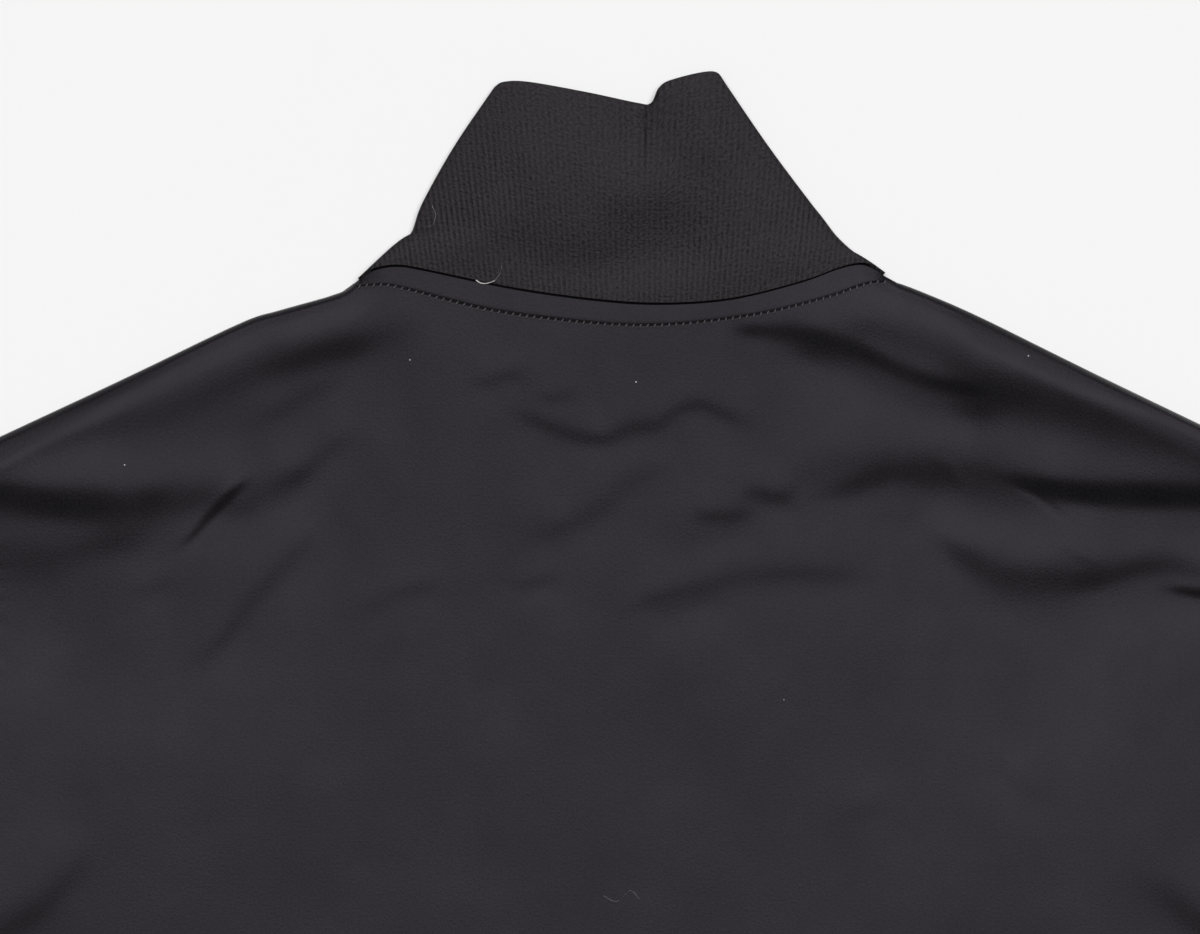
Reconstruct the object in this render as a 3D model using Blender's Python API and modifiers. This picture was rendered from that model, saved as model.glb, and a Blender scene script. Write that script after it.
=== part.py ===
"""A track jacket laid out flat on its front, with its rib stand collar up.

+X is the wearer's right, +Y runs up the back to the collar, and +Z points away from the surface
that the jacket lies on. The tables are in millimetres, from the lowest point of the back neck
seam. The part's origin is the middle of its underside, in metres.
"""

import math
from collections import namedtuple

import bmesh
import bpy
import numpy as np
from mathutils import Vector

MM = 0.001

# Cloth walls, and how close one piece comes to the next.
CLOTH = 1.1
RIB = 1.6
GAP = 0.3
LAYER_GAP = 0.6
CLOTH_STACK = 2 * CLOTH + LAYER_GAP
RIB_STACK = 2 * RIB + LAYER_GAP
BAND = 1.0

# How far the upper layer stands off the lower one.
PUFF = 2.6
PUFF_REACH = 55.0
FOLD_REACH = 26.0
NECK_LIFT = 2.4
NECK_REACH = (95.0, 62.0)
ZIP_LIFT = 2.2
ZIP_REACH = 18.0
SLIDER_LIFT = 3.9
SLIDER_REACH = 34.0
COLLAR_LIFT = 1.0
COLLAR_UNDER = (118.0, -92.0)
COLLAR_EASE = 14.0
HEM_PUFF = 2.5
CUFF_PUFF = 1.2
SOFTNESS = 0.6

# Lengths down the body and the sleeves.
HEM_SEAM = -628.0
HEM_END = -690.0
HEM_SIDE = (275.0, 262.0)
CUFF_LENGTH = 70.0
CUFF_WIDTH = 84.0
CUFF_EASE = 6.0

# The zip, closed up to the top of the collar.
ZIP_HALF_CHANNEL = 6.0
CHAIN_HALF = 2.6
CHAIN_THICK = 1.4
CHAIN_RISE = 0.8
TAPE_HALF = 14.0
TAPE_THICK = 0.9
TAPE_RISE = 0.5
SLIDER = {"width": 8.6, "length": 12.0, "bottom": 2.0, "top": 4.8, "y": -3.0}
BAIL = {"width": 1.8, "length": 7.0, "bottom": 0.15, "bar": 0.5, "leg": 0.6, "y": -3.5}
TAB = {"width": 6.5, "length": 24.0, "thick": 0.7, "rung": 0.7, "eye": 5.5, "eye_width": 2.6}
TAB_AXIS = (0.0, -3.7, 1.33)
TAB_DROP = math.radians(2.0)

Place = namedtuple("Place", "name x y")

# The shoulder lines, from the neck out to the sleeve head: the left one sits a little higher.
SHOULDER_LEFT = (
    Place("neck point", -102.5, 9.0),
    Place("dip", -109.0, 4.6),
    Place("rise", -131.5, -1.9),
    Place("slope", -147.0, -7.0),
    Place("shoulder", -192.0, -28.5),
    Place("sleeve head", -252.0, -56.5),
)
SHOULDER_RIGHT = (
    Place("neck point", 100.3, 9.5),
    Place("dip", 111.7, 4.7),
    Place("slope", 134.5, -4.9),
    Place("shoulder", 180.0, -27.2),
    Place("sleeve head", 252.0, -61.5),
)
# The back neck seam and the stitched lower edge of the band under it, left to right.
NECK_SEAM = (
    Place("left end", -97.5, 14.3),
    Place("left", -78.0, 12.9),
    Place("left middle", -42.0, 5.7),
    Place("before the middle", -10.0, 1.3),
    Place("lowest", 14.0, 0.0),
    Place("right middle", 40.0, 1.9),
    Place("right", 66.0, 8.3),
    Place("right rise", 82.0, 13.6),
    Place("right end", 95.4, 15.2),
)
BAND_EDGE = (
    Place("left end", -100.2, 7.2),
    Place("left", -82.0, 5.6),
    Place("left middle", -46.0, -3.2),
    Place("middle", 4.0, -8.0),
    Place("right middle", 46.0, -4.4),
    Place("right", 76.0, 2.9),
    Place("right end", 98.4, 8.6),
)
# The collar's side folds, from the seam up, and its top edge with a small step where it laps.
COLLAR_LEFT = (
    Place("seam", -97.5, 14.8),
    Place("bend", -81.0, 28.0),
    Place("side", -66.0, 58.5),
    Place("top", -50.2, 82.8),
)
COLLAR_RIGHT = (
    Place("seam", 95.4, 15.7),
    Place("bend", 78.8, 28.0),
    Place("side", 55.6, 58.3),
    Place("top", 36.8, 84.4),
)
COLLAR_TOP = (
    Place("left", -50.2, 82.8),
    Place("left corner", -46.5, 84.9),
    Place("left rise", -37.0, 84.9),
    Place("slope", -15.0, 81.0),
    Place("low", 4.0, 77.0),
    Place("step foot", 9.4, 76.8),
    Place("step head", 12.6, 82.8),
    Place("right rise", 18.0, 85.9),
    Place("right high", 32.0, 88.8),
    Place("right", 36.8, 84.4),
)
# The right half of what the back covers. The left half is its mirror image.
ARMHOLE = (
    Place("sleeve head", 252.0, -59.0),
    Place("upper", 250.0, -140.0),
    Place("lower", 262.0, -228.0),
    Place("armpit", 288.0, -290.0),
)
SIDE = (
    Place("hem", HEM_SIDE[0], HEM_SEAM),
    Place("waist", 281.0, -460.0),
    Place("armpit", 288.0, -290.0),
)
SLEEVE_TOP = (
    Place("sleeve head", 252.0, -59.0),
    Place("upper arm", 330.0, -97.0),
    Place("bend", 402.0, -158.0),
    Place("below the bend", 456.0, -238.0),
    Place("cuff", 595.0, -486.0),
)
SLEEVE_UNDER = (
    Place("armpit", 288.0, -290.0),
    Place("inner arm", 352.0, -368.0),
    Place("forearm", 440.0, -468.0),
    Place("cuff", 513.0, -541.0),
)
FRONT_NECK = (
    Place("neck point", 100.3, 9.5),
    Place("side", 97.0, -14.0),
    Place("curve", 78.0, -48.0),
    Place("front", 42.0, -70.0),
    Place("zip", ZIP_HALF_CHANNEL, -75.0),
)
FRONT_COLLAR_TOP = (
    Place("side", 43.0, 83.0),
    Place("fall", 36.0, 44.0),
    Place("curve", 21.0, 14.0),
    Place("zip", ZIP_HALF_CHANNEL, 6.0),
)

# Folds of the upper layer. Each runs from x0, y0 to x1, y1 with its middle bowed to its left;
# above and below are its half widths towards the collar and towards the hem.
Fold = namedtuple("Fold", "name x0 y0 x1 y1 bow above below height")
FOLDS = (
    Fold("right shoulder trough", 38, -10, 232, -62, 2, 8, 13, -3.4),
    Fold("right shoulder ridge", 78, -2, 226, -46, 0, 9, 9, 1.2),
    Fold("right main lip, inner", 10, -86, 108, -55, 5, 20, 8, 2.4),
    Fold("right main trough, inner", 16, -92, 112, -66, 4, 7, 13, -2.4),
    Fold("right main lip, outer", 98, -56, 300, -62, -2, 22, 8, 4.6),
    Fold("right main trough, outer", 98, -67, 300, -80, -3, 8, 15, -4.0),
    Fold("right second lip", 150, -100, 262, -92, -4, 14, 8, 2.8),
    Fold("right second trough", 112, -92, 158, -116, -3, 10, 14, -2.6),
    Fold("right second trough, outer", 146, -114, 262, -106, -4, 8, 16, -2.8),
    Fold("left shoulder trough", -232, -60, -84, -8, 3, 9, 12, -2.4),
    Fold("left main lip", -300, -56, -168, -66, 3, 20, 8, 4.6),
    Fold("left main trough", -300, -68, -160, -80, 2, 8, 14, -4.2),
    Fold("left pocket", -168, -84, -124, -68, -4, 9, 9, -2.0),
    Fold("left diagonal", -168, -138, -108, -78, 2, 12, 12, 1.8),
    Fold("left diagonal, upper", -132, -70, -98, -42, 1, 10, 10, 1.4),
    Fold("middle wave, left", -48, -38, 8, -50, -3, 10, 9, 1.6),
    Fold("middle wave, right", 6, -48, 56, -50, 8, 10, 8, 1.8),
    Fold("lower row", -8, -118, 90, -104, 5, 12, 9, 1.8),
    Fold("lower left wedge", -262, -250, -196, -204, 3, 14, 10, -2.6),
    Fold("lower right wedge", 198, -206, 262, -262, 3, 14, 10, -2.6),
    Fold("waist, left", -240, -420, -40, -380, 8, 26, 22, 2.4),
    Fold("waist, right", 30, -440, 250, -410, -10, 24, 26, 2.6),
    Fold("low back", -160, -540, 140, -560, 8, 30, 26, 2.2),
    Fold("left sleeve bend, upper", -440, -250, -330, -190, 6, 16, 12, 3.2),
    Fold("left sleeve bend, lower", -450, -330, -350, -250, -5, 15, 12, 2.8),
    Fold("left forearm", -540, -500, -450, -400, 4, 13, 12, 2.2),
    Fold("right sleeve bend, upper", 330, -200, 440, -240, 5, 14, 15, 3.4),
    Fold("right sleeve bend, lower", 345, -262, 448, -322, -5, 15, 12, 2.6),
    Fold("right forearm", 446, -390, 548, -492, -4, 12, 13, 2.4),
)
COLLAR_FOLDS = (
    Fold("step crease", 9.5, 44.0, 9.8, 82.0, 0, 4, 3, -1.6),
    Fold("right half lies higher", 22.0, 40.0, 25.0, 92.0, 0, 13, 12, 2.4),
    Fold("left swell", -38.0, 46.0, -12.0, 66.0, 0, 15, 15, 1.2),
    Fold("middle hollow", -16.0, 38.0, 26.0, 32.0, 0, 13, 12, -1.6),
    Fold("right diagonal", 50.0, 42.0, 76.0, 24.0, 0, 8, 8, -1.0),
)

# Colour, roughness and metallic of each kind of surface.
Finish = namedtuple("Finish", "color roughness metallic")
TRICOT = Finish((0.032, 0.030, 0.034), 0.62, 0.0)
RIB_KNIT = Finish((0.029, 0.027, 0.028), 0.85, 0.0)
ZIP_CLOTH = Finish((0.022, 0.022, 0.024), 0.8, 0.0)
ZIP_METAL = Finish((0.05, 0.05, 0.055), 0.35, 0.6)


def smooth(share):
    """Eases from 0 to 1."""
    share = min(max(share, 0.0), 1.0)
    return share * share * (3 - 2 * share)


def mix(a, b, share):
    return a + (b - a) * share


def points_of(places, side=1):
    """The places of a table as points, mirrored to the left where side is -1."""
    return [Vector((side * place.x, place.y)) for place in places]


def smooth_path(points):
    """A smooth curve through the points, as a function of the share of its length."""
    steps = 8
    padded = [2 * points[0] - points[1], *points, 2 * points[-1] - points[-2]]
    dense = []
    for a, b, c, d in zip(padded, padded[1:], padded[2:], padded[3:]):
        for step in range(steps):
            t = step / steps
            bend = (2 * a - 5 * b + 4 * c - d) * t * t + (3 * b - a - 3 * c + d) * t**3
            dense.append(b + 0.5 * ((c - a) * t + bend))
    dense.append(points[-1])
    x, y = np.array([list(p) for p in dense]).T
    run = np.concatenate([[0.0], np.cumsum(np.hypot(np.diff(x), np.diff(y)))])

    def at(share):
        length = share * run[-1]
        return Vector((float(np.interp(length, run, x)), float(np.interp(length, run, y))))

    return at


def joined(*stretches):
    """One path out of several. Each stretch is a path and the share at which it ends."""

    def at(share):
        start = 0.0
        for path, end in stretches:
            if share <= end + 1e-9:
                return path((share - start) / (end - start))
            start = end
        return stretches[-1][0](1.0)

    return at


def backwards(path):
    return lambda share: path(1 - share)


def patch(bottom, top, left, right):
    """A panel between four edges, as a function of the shares across and up."""

    def at(u, v):
        across = mix(left(v), right(v), u)
        along = mix(bottom(u), top(u), v)
        corners = mix(mix(left(0), right(0), u), mix(left(1), right(1), u), v)
        return across + along - corners

    return at


# Edges that several pieces share.
NECK_SHARE = (0.25, 0.75)
ARMPIT_SHARE = 0.56
NECK_STEPS = 8
SHOULDERS = {-1: SHOULDER_LEFT, 1: SHOULDER_RIGHT}
ARMPIT = Vector((ARMHOLE[-1].x, ARMHOLE[-1].y))


def shoulder_path(side):
    """From the neck point to the sleeve head."""
    return smooth_path(points_of(SHOULDERS[side]))


def fitted(places, side):
    """A right-hand table for one side, with its start moved to that side's sleeve head."""
    points = points_of(places, side)
    head = SHOULDERS[side][-1]
    return [Vector((head.x, head.y)), *points[1:]]


def front_neck_path(side):
    """From the neck point down to the zip."""
    neck_point = SHOULDERS[side][0]
    return smooth_path([Vector((neck_point.x, neck_point.y)), *points_of(FRONT_NECK[1:], side)])


def armhole_path(side):
    """From the sleeve head to the armpit."""
    return smooth_path(fitted(ARMHOLE, side))


def body_side(side):
    """Up the side seam and the armhole, from the hem to the sleeve head."""
    seam = smooth_path(points_of(SIDE, side))
    return joined((seam, ARMPIT_SHARE), (backwards(armhole_path(side)), 1.0))


def outline_segments():
    """The folded outer edges of body and sleeves, as the starts and runs of short segments."""
    paths = []
    for side in (-1, 1):
        paths.append(shoulder_path(side))
        paths.append(smooth_path(fitted(SLEEVE_TOP, side)))
        paths.append(smooth_path(points_of(SLEEVE_UNDER, side)))
        paths.append(smooth_path(points_of(SIDE, side)))
    starts, runs = [], []
    count = 12
    for path in paths:
        points = [path(k / count) for k in range(count + 1)]
        starts += [list(p) for p in points[:-1]]
        runs += [list(b - a) for a, b in zip(points, points[1:])]
    return np.array(starts), np.array(runs)


EDGE_STARTS, EDGE_RUNS = outline_segments()


def edge_distance(p):
    """How far a point lies from the folded outer edges."""
    to_point = np.array([p.x, p.y]) - EDGE_STARTS
    along = (to_point * EDGE_RUNS).sum(1) / (EDGE_RUNS**2).sum(1)
    nearest = to_point - EDGE_RUNS * np.clip(along, 0, 1)[:, None]
    return float(np.sqrt((nearest**2).sum(1)).min())


def fold_height(fold, p):
    """What one fold adds at a point. Its ends fade out."""
    start = Vector((fold.x0, fold.y0))
    run = Vector((fold.x1 - fold.x0, fold.y1 - fold.y0))
    offset = p - start
    along = offset.dot(run) / run.length_squared
    side = (run.x * offset.y - run.y * offset.x) / run.length
    side -= 4 * fold.bow * along * (1 - along)
    half = fold.above if side > 0 else fold.below
    ends = smooth((along + 0.1) / 0.35) * smooth((1.1 - along) / 0.35)
    return fold.height * math.exp(-((side / half) ** 2)) * ends


def neck_line(x):
    """Height of the back neck seam at x, level beyond its ends."""
    return float(np.interp(x, [place.x for place in NECK_SEAM], [place.y for place in NECK_SEAM]))


def bump(x, y, reach_x, reach_y):
    return math.exp(-((x / reach_x) ** 2) - (y / reach_y) ** 2)


def floor_of_back(p):
    """The least height of the upper layer: it clears the zip, the slider and the front collar."""
    over_zip = ZIP_LIFT * math.exp(-((p.x / ZIP_REACH) ** 2))
    over_slider = SLIDER_LIFT * bump(p.x, p.y + 2, SLIDER_REACH, SLIDER_REACH)
    in_width = smooth((COLLAR_UNDER[0] - abs(p.x)) / COLLAR_EASE)
    in_height = smooth((p.y - COLLAR_UNDER[1]) / COLLAR_EASE)
    return CLOTH_STACK + max(over_zip, over_slider, COLLAR_LIFT * in_width * in_height)


def cloth_top(p):
    """Height of the upper layer's outer face over the surface that the jacket lies on."""
    inland = edge_distance(p)
    below_seam = neck_line(p.x) - p.y
    seam_hold = smooth((below_seam - 7) / 16)
    free = CLOTH_STACK + PUFF * smooth(inland / PUFF_REACH)
    free += NECK_LIFT * bump(p.x, p.y, *NECK_REACH) * smooth(inland / FOLD_REACH)
    relief = sum(fold_height(fold, p) for fold in FOLDS)
    free += relief * smooth(inland / FOLD_REACH) * seam_hold
    low = floor_of_back(p)
    rise = free - low
    return low + (rise + math.hypot(rise, SOFTNESS) - SOFTNESS) / 2


def rib_top(p):
    """The same for the rib bands, which are thicker."""
    return max(RIB_STACK, cloth_top(p) + 0.2)


def collar_height(share, v, p):
    """Height of the collar's upper layer, share across it and v of the way to its top edge."""
    seam = max(RIB_STACK, cloth_top(p) + GAP)
    inland = smooth(min(share, 1 - share) / 0.16)
    relief = sum(fold_height(fold, p) for fold in COLLAR_FOLDS)
    lifted = RIB_STACK + inland * (3.4 * (1 - v) + relief)
    return max(mix(seam, lifted, smooth(v / 0.3)), RIB + 2 * GAP)


def cloth_material(name, finish):
    material = bpy.data.materials.new(name)
    material.use_nodes = True
    shader = material.node_tree.nodes["Principled BSDF"]
    shader.inputs["Base Color"].default_value = (*finish.color, 1.0)
    shader.inputs["Roughness"].default_value = finish.roughness
    shader.inputs["Metallic"].default_value = finish.metallic
    material.diffuse_color = (*finish.color, 1.0)
    return material


def origin_shift():
    """From the neck seam's zero to the middle of the whole jacket."""
    top = max(place.y for place in COLLAR_TOP)
    return Vector((0.0, -(top + HEM_END) / 2, 0.0))


def add_object(name, mesh, finish):
    """Links a mesh, which has its shape in millimetres, as one of the jacket's pieces."""
    for vertex in mesh.vertices:
        vertex.co = (vertex.co + origin_shift()) * MM
    mesh.materials.append(cloth_material(name, finish))
    piece = bpy.data.objects.new(name, mesh)
    JACKET.objects.link(piece)
    return piece


def shell(name, columns, rows, place, thick, finish):
    """A grid of columns by rows laid on place(i, j), then given its wall on the inner side."""
    grid = bmesh.new()
    bmesh.ops.create_grid(grid, x_segments=columns, y_segments=rows, size=0.5)
    for vertex in grid.verts:
        i = round((vertex.co.x + 0.5) * columns)
        j = round((vertex.co.y + 0.5) * rows)
        vertex.co = place(i, j)
    bmesh.ops.remove_doubles(grid, verts=grid.verts, dist=1e-4)
    grid.normal_update()
    highest = max(grid.faces, key=lambda face: face.calc_center_median().z)
    if highest.normal.z < 0:
        bmesh.ops.reverse_faces(grid, faces=grid.faces)
    mesh = bpy.data.meshes.new(name)
    grid.to_mesh(mesh)
    grid.free()
    mesh.shade_smooth()
    piece = add_object(name, mesh, finish)
    wall = piece.modifiers.new("wall", "SOLIDIFY")
    wall.thickness = thick * MM
    wall.offset = -1
    wall.use_even_offset = True
    return piece


def ring(upper, lower_near, lower_far, height, steps):
    """Points round one section of cloth pressed flat, from the lower layer's open edge.

    upper runs along the top layer from the near fold to the far one. The lower paths run from
    each fold to the open edge. The turns between them are half rounds.
    """
    near, far = upper(0.0), upper(1.0)
    length = (far - near).length
    points = []
    turned = {}
    for end, edge, inward in ((0, near, upper(0.02) - near), (1, far, upper(0.98) - far)):
        radius = height(end, edge) / 2
        turned[end] = (edge + inward.normalized() * radius, inward.normalized(), radius)
    for k in range(steps["lower"], 0, -1):
        points.append((*lower_near(k / steps["lower"]), 0.0))
    for end in (0, 1):
        centre, inward, radius = turned[end]
        angles = [-math.pi / 2 + math.pi * k / steps["turn"] for k in range(steps["turn"] + 1)]
        if end == 1:
            for k in range(1, steps["upper"]):
                share = mix(turned[0][2], length - turned[1][2], k / steps["upper"]) / length
                p = upper(share)
                points.append((p.x, p.y, height(share, p)))
            angles.reverse()
        for angle in angles:
            p = centre - inward * radius * math.cos(angle)
            points.append((p.x, p.y, radius * (1 + math.sin(angle))))
    for k in range(1, steps["lower"] + 1):
        points.append((*lower_far(k / steps["lower"]), 0.0))
    return points


def ring_columns(steps):
    return 2 * steps["lower"] + 2 * steps["turn"] + steps["upper"]


def make_back():
    columns, lower_rows, upper_rows = 56, 9, 33
    hem_left, hem_right = points_of(SIDE[:1], -1)[0], points_of(SIDE[:1])[0]
    seam = smooth_path([Vector((p.x, p.y - GAP)) for p in NECK_SEAM])
    top = joined(
        (backwards(shoulder_path(-1)), NECK_SHARE[0]),
        (seam, NECK_SHARE[1]),
        (shoulder_path(1), 1.0),
    )
    panel = patch(lambda u: mix(hem_left, hem_right, u), top, body_side(-1), body_side(1))

    def place(i, j):
        v = mix(0, ARMPIT_SHARE, j / lower_rows)
        if j > lower_rows:
            v = mix(ARMPIT_SHARE, 1, (j - lower_rows) / upper_rows)
        p = panel(i / columns, v)
        return (p.x, p.y, cloth_top(p))

    shell("back", columns, lower_rows + upper_rows, place, CLOTH, TRICOT)


def make_front(name, side):
    columns, neck_columns, lower_rows, upper_rows = 14, NECK_STEPS, 6, 8
    hem = Vector((side * HEM_SIDE[0], HEM_SEAM))
    zip_foot = Vector((side * ZIP_HALF_CHANNEL, HEM_SEAM))
    neck = backwards(front_neck_path(side))
    zip_head = neck(0)
    share = neck_columns / columns
    panel = patch(
        lambda u: mix(zip_foot, hem, u),
        joined((neck, share), (shoulder_path(side), 1.0)),
        lambda v: mix(zip_foot, zip_head, v),
        body_side(side),
    )

    def place(i, j):
        v = mix(0, ARMPIT_SHARE, j / lower_rows)
        if j > lower_rows:
            v = mix(ARMPIT_SHARE, 1, (j - lower_rows) / upper_rows)
        return (*panel(i / columns, v), CLOTH)

    shell(name, columns, lower_rows + upper_rows, place, CLOTH, TRICOT)


def make_sleeve(name, side):
    """A tube with an underarm seam, pressed flat: its first section lies along the armhole."""
    steps = {"upper": 14, "lower": 2, "turn": 3}
    rows = 20
    outer = smooth_path(fitted(SLEEVE_TOP, side))
    under = smooth_path(points_of(SLEEVE_UNDER, side))
    armhole = armhole_path(side)
    clear = Vector((side * 1.4 * GAP, 0))

    def section(v):
        a, b = outer(v), under(v)
        curve = 1 - smooth(v / 0.35)

        def across(share):
            bulge = armhole(share) - mix(armhole(0), armhole(1), share)
            return mix(a, b, share) + bulge * curve + clear

        return across

    def layer_height(share, p):
        return cloth_top(p)

    def section_points(v):
        upper = section(v)
        middle = upper(0.5)
        lower_near = lambda share: mix(upper(0.03), middle, share)
        lower_far = lambda share: mix(upper(0.97), middle, share)
        return ring(upper, lower_near, lower_far, layer_height, steps)

    sections = [section_points(j / rows) for j in range(rows + 1)]
    shell(name, ring_columns(steps), rows, lambda i, j: sections[j][i], CLOTH, TRICOT)


def make_cuff(name, side):
    steps = {"upper": 6, "lower": 2, "turn": 3}
    rows = 2
    top, under = points_of(SLEEVE_TOP, side)[-1], points_of(SLEEVE_UNDER, side)[-1]
    across = (under - top).normalized()
    down = Vector((-across.y, across.x)) * side
    width = (under - top).length

    def section_points(v):
        narrow = mix(CUFF_EASE, (width - CUFF_WIDTH) / 2, smooth(v / 0.6))
        shift = down * mix(2 * GAP, CUFF_LENGTH, v)
        near = top + across * narrow + shift
        far = under - across * narrow + shift
        upper = lambda share: mix(near, far, share)
        middle = upper(0.5)
        lower_near = lambda share: mix(upper(0.04), middle, share)
        lower_far = lambda share: mix(upper(0.96), middle, share)
        height = lambda share, p: mix(rib_top(p), RIB_STACK + CUFF_PUFF * smooth(min(share, 1 - share) / 0.2), smooth(v))
        return ring(upper, lower_near, lower_far, height, steps)

    sections = [section_points(j / rows) for j in range(rows + 1)]
    shell(name, ring_columns(steps), rows, lambda i, j: sections[j][i], RIB, RIB_KNIT)


def make_hem_band():
    steps = {"upper": 18, "lower": 5, "turn": 3}
    rows = 2

    def section_points(v):
        y = mix(HEM_SEAM - GAP, HEM_END, v)
        half = mix(HEM_SIDE[0], HEM_SIDE[1], smooth(v))
        upper = lambda share: Vector((mix(-half, half, share), y))
        lower_near = lambda share: Vector((mix(-half + RIB_STACK, -ZIP_HALF_CHANNEL, share), y))
        lower_far = lambda share: Vector((mix(half - RIB_STACK, ZIP_HALF_CHANNEL, share), y))
        height = lambda share, p: mix(rib_top(p), RIB_STACK + HEM_PUFF * smooth(min(share, 1 - share) / 0.1), smooth(v))
        return ring(upper, lower_near, lower_far, height, steps)

    sections = [section_points(j / rows) for j in range(rows + 1)]
    shell("hem_band", ring_columns(steps), rows, lambda i, j: sections[j][i], RIB, RIB_KNIT)


def make_collar():
    """One rib strip: across the back, round both side folds and under to the zip."""
    steps = {"upper": 30, "lower": NECK_STEPS, "turn": 3}
    rows = 10
    seam = smooth_path([Vector((p.x, p.y + 2 * GAP)) for p in NECK_SEAM])
    top_edge = smooth_path(points_of(COLLAR_TOP))
    sides = (smooth_path(points_of(COLLAR_LEFT)), smooth_path(points_of(COLLAR_RIGHT)))
    neck_middle = Vector((0, 14))
    inside_seam = 0.993

    def front(side, v, fold):
        neck = front_neck_path(side)
        seam_path = lambda share: neck_middle + (neck(share) - neck_middle) * inside_seam
        edge_path = smooth_path(points_of(FRONT_COLLAR_TOP, side))

        def at(share):
            p = mix(seam_path(share), edge_path(share), v)
            start = mix(seam_path(0), edge_path(0), v)
            return p + (fold - start) * (1 - share) ** 2

        return at

    def section_points(v):
        left, right = sides[0](v), sides[1](v)
        bow_low, bow_high = seam, top_edge

        def upper(share):
            p = mix(bow_low(share), bow_high(share), v)
            chord = mix(mix(bow_low(0), bow_high(0), v), mix(bow_low(1), bow_high(1), v), share)
            return p - chord + mix(left, right, share)

        height = lambda share, p: collar_height(share, v, p)
        return ring(upper, front(-1, v, left), front(1, v, right), height, steps)

    sections = [section_points(j / rows) for j in range(rows + 1)]
    shell("collar", ring_columns(steps), rows, lambda i, j: sections[j][i], RIB, RIB_KNIT)


def make_neck_band():
    """A narrow strip over the collar seam's allowance, stitched down along its lower edge."""
    columns, rows = 30, 2
    seam = smooth_path([Vector((p.x, p.y - GAP)) for p in NECK_SEAM])
    lower = smooth_path(points_of(BAND_EDGE))

    def place(i, j):
        p = mix(lower(i / columns), seam(i / columns), j / rows)
        return (p.x, p.y, cloth_top(p) + GAP + BAND)

    shell("neck_band", columns, rows, place, BAND, TRICOT)


def lower_layer(y):
    """Height of the lower layer's inner face at the zip: the rib bands are thicker."""
    rise = smooth((y - FRONT_NECK[-1].y + 14) / 12) + smooth((HEM_SEAM + 14 - y) / 12)
    return mix(CLOTH, RIB, min(rise, 1.0))


def zip_run():
    """Where the zip's parts start and end: from the hem's end to the slider."""
    return HEM_END, SLIDER["y"] - SLIDER["length"] / 2 - GAP


def make_zip_chain():
    rows = 24
    start, end = zip_run()

    def place(i, j):
        y = mix(start, end, j / rows)
        return (mix(-CHAIN_HALF, CHAIN_HALF, i), y, lower_layer(y) + CHAIN_RISE + CHAIN_THICK)

    shell("zip_chain", 1, rows, place, CHAIN_THICK, ZIP_METAL)


def make_zip_tape(name, side):
    columns, rows = 2, 24
    start, end = zip_run()

    def place(i, j):
        y = mix(start, end, j / rows)
        x = mix(CHAIN_HALF + GAP, TAPE_HALF, i / columns)
        rise = TAPE_RISE * (1 - smooth((x - CHAIN_HALF) / (ZIP_HALF_CHANNEL - CHAIN_HALF)))
        return (side * x, y, lower_layer(y) + GAP + rise + TAPE_THICK)

    shell(name, columns, rows, place, TAPE_THICK, ZIP_CLOTH)


def box_mesh(name, low, high, bevel=0.0):
    """A box between two corners, in millimetres from the neck seam's zero."""
    box = bmesh.new()
    bmesh.ops.create_cube(box, size=1.0)
    for vertex in box.verts:
        vertex.co = [mix(a, b, c + 0.5) for a, b, c in zip(low, high, vertex.co)]
    if bevel:
        upright = [edge for edge in box.edges if abs(edge.verts[0].co.z - edge.verts[1].co.z) > 0.1]
        bmesh.ops.bevel(box, geom=upright, offset=bevel, segments=3, affect="EDGES", profile=0.5)
    mesh = bpy.data.meshes.new(name)
    box.to_mesh(mesh)
    box.free()
    return mesh


def add_cutter(name, mesh):
    """A helper that a Boolean reads. It isn't one of the jacket's pieces."""
    for vertex in mesh.vertices:
        vertex.co = (vertex.co + origin_shift()) * MM
    cutter = bpy.data.objects.new(name, mesh)
    CUTTERS.objects.link(cutter)
    cutter.hide_render = True
    cutter.display_type = "WIRE"
    return cutter


def combine(piece, other, operation):
    step = piece.modifiers.new(other.name, "BOOLEAN")
    step.object = other
    step.operation = operation
    step.solver = "EXACT"


def make_slider():
    """The slider's body with the bail that holds the pull tab on its outer face."""
    half = Vector((SLIDER["width"] / 2, SLIDER["length"] / 2))
    low = (-half.x, SLIDER["y"] - half.y, SLIDER["bottom"])
    high = (half.x, SLIDER["y"] + half.y, SLIDER["top"])
    body = add_object("zip_slider", box_mesh("zip_slider", low, high, bevel=1.6), ZIP_METAL)
    bail_x, bail_y = BAIL["width"] / 2, BAIL["length"] / 2
    low = (-bail_x, BAIL["y"] - bail_y, BAIL["bottom"])
    high = (bail_x, BAIL["y"] + bail_y, SLIDER["bottom"] + 0.3)
    combine(body, add_cutter("bail", box_mesh("bail", low, high)), "UNION")
    low = (-2 * bail_x, BAIL["y"] - bail_y + BAIL["leg"], BAIL["bottom"] + BAIL["bar"])
    high = (2 * bail_x, BAIL["y"] + bail_y - BAIL["leg"], SLIDER["bottom"] + 0.1)
    combine(body, add_cutter("bail_opening", box_mesh("bail_opening", low, high)), "DIFFERENCE")


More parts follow.
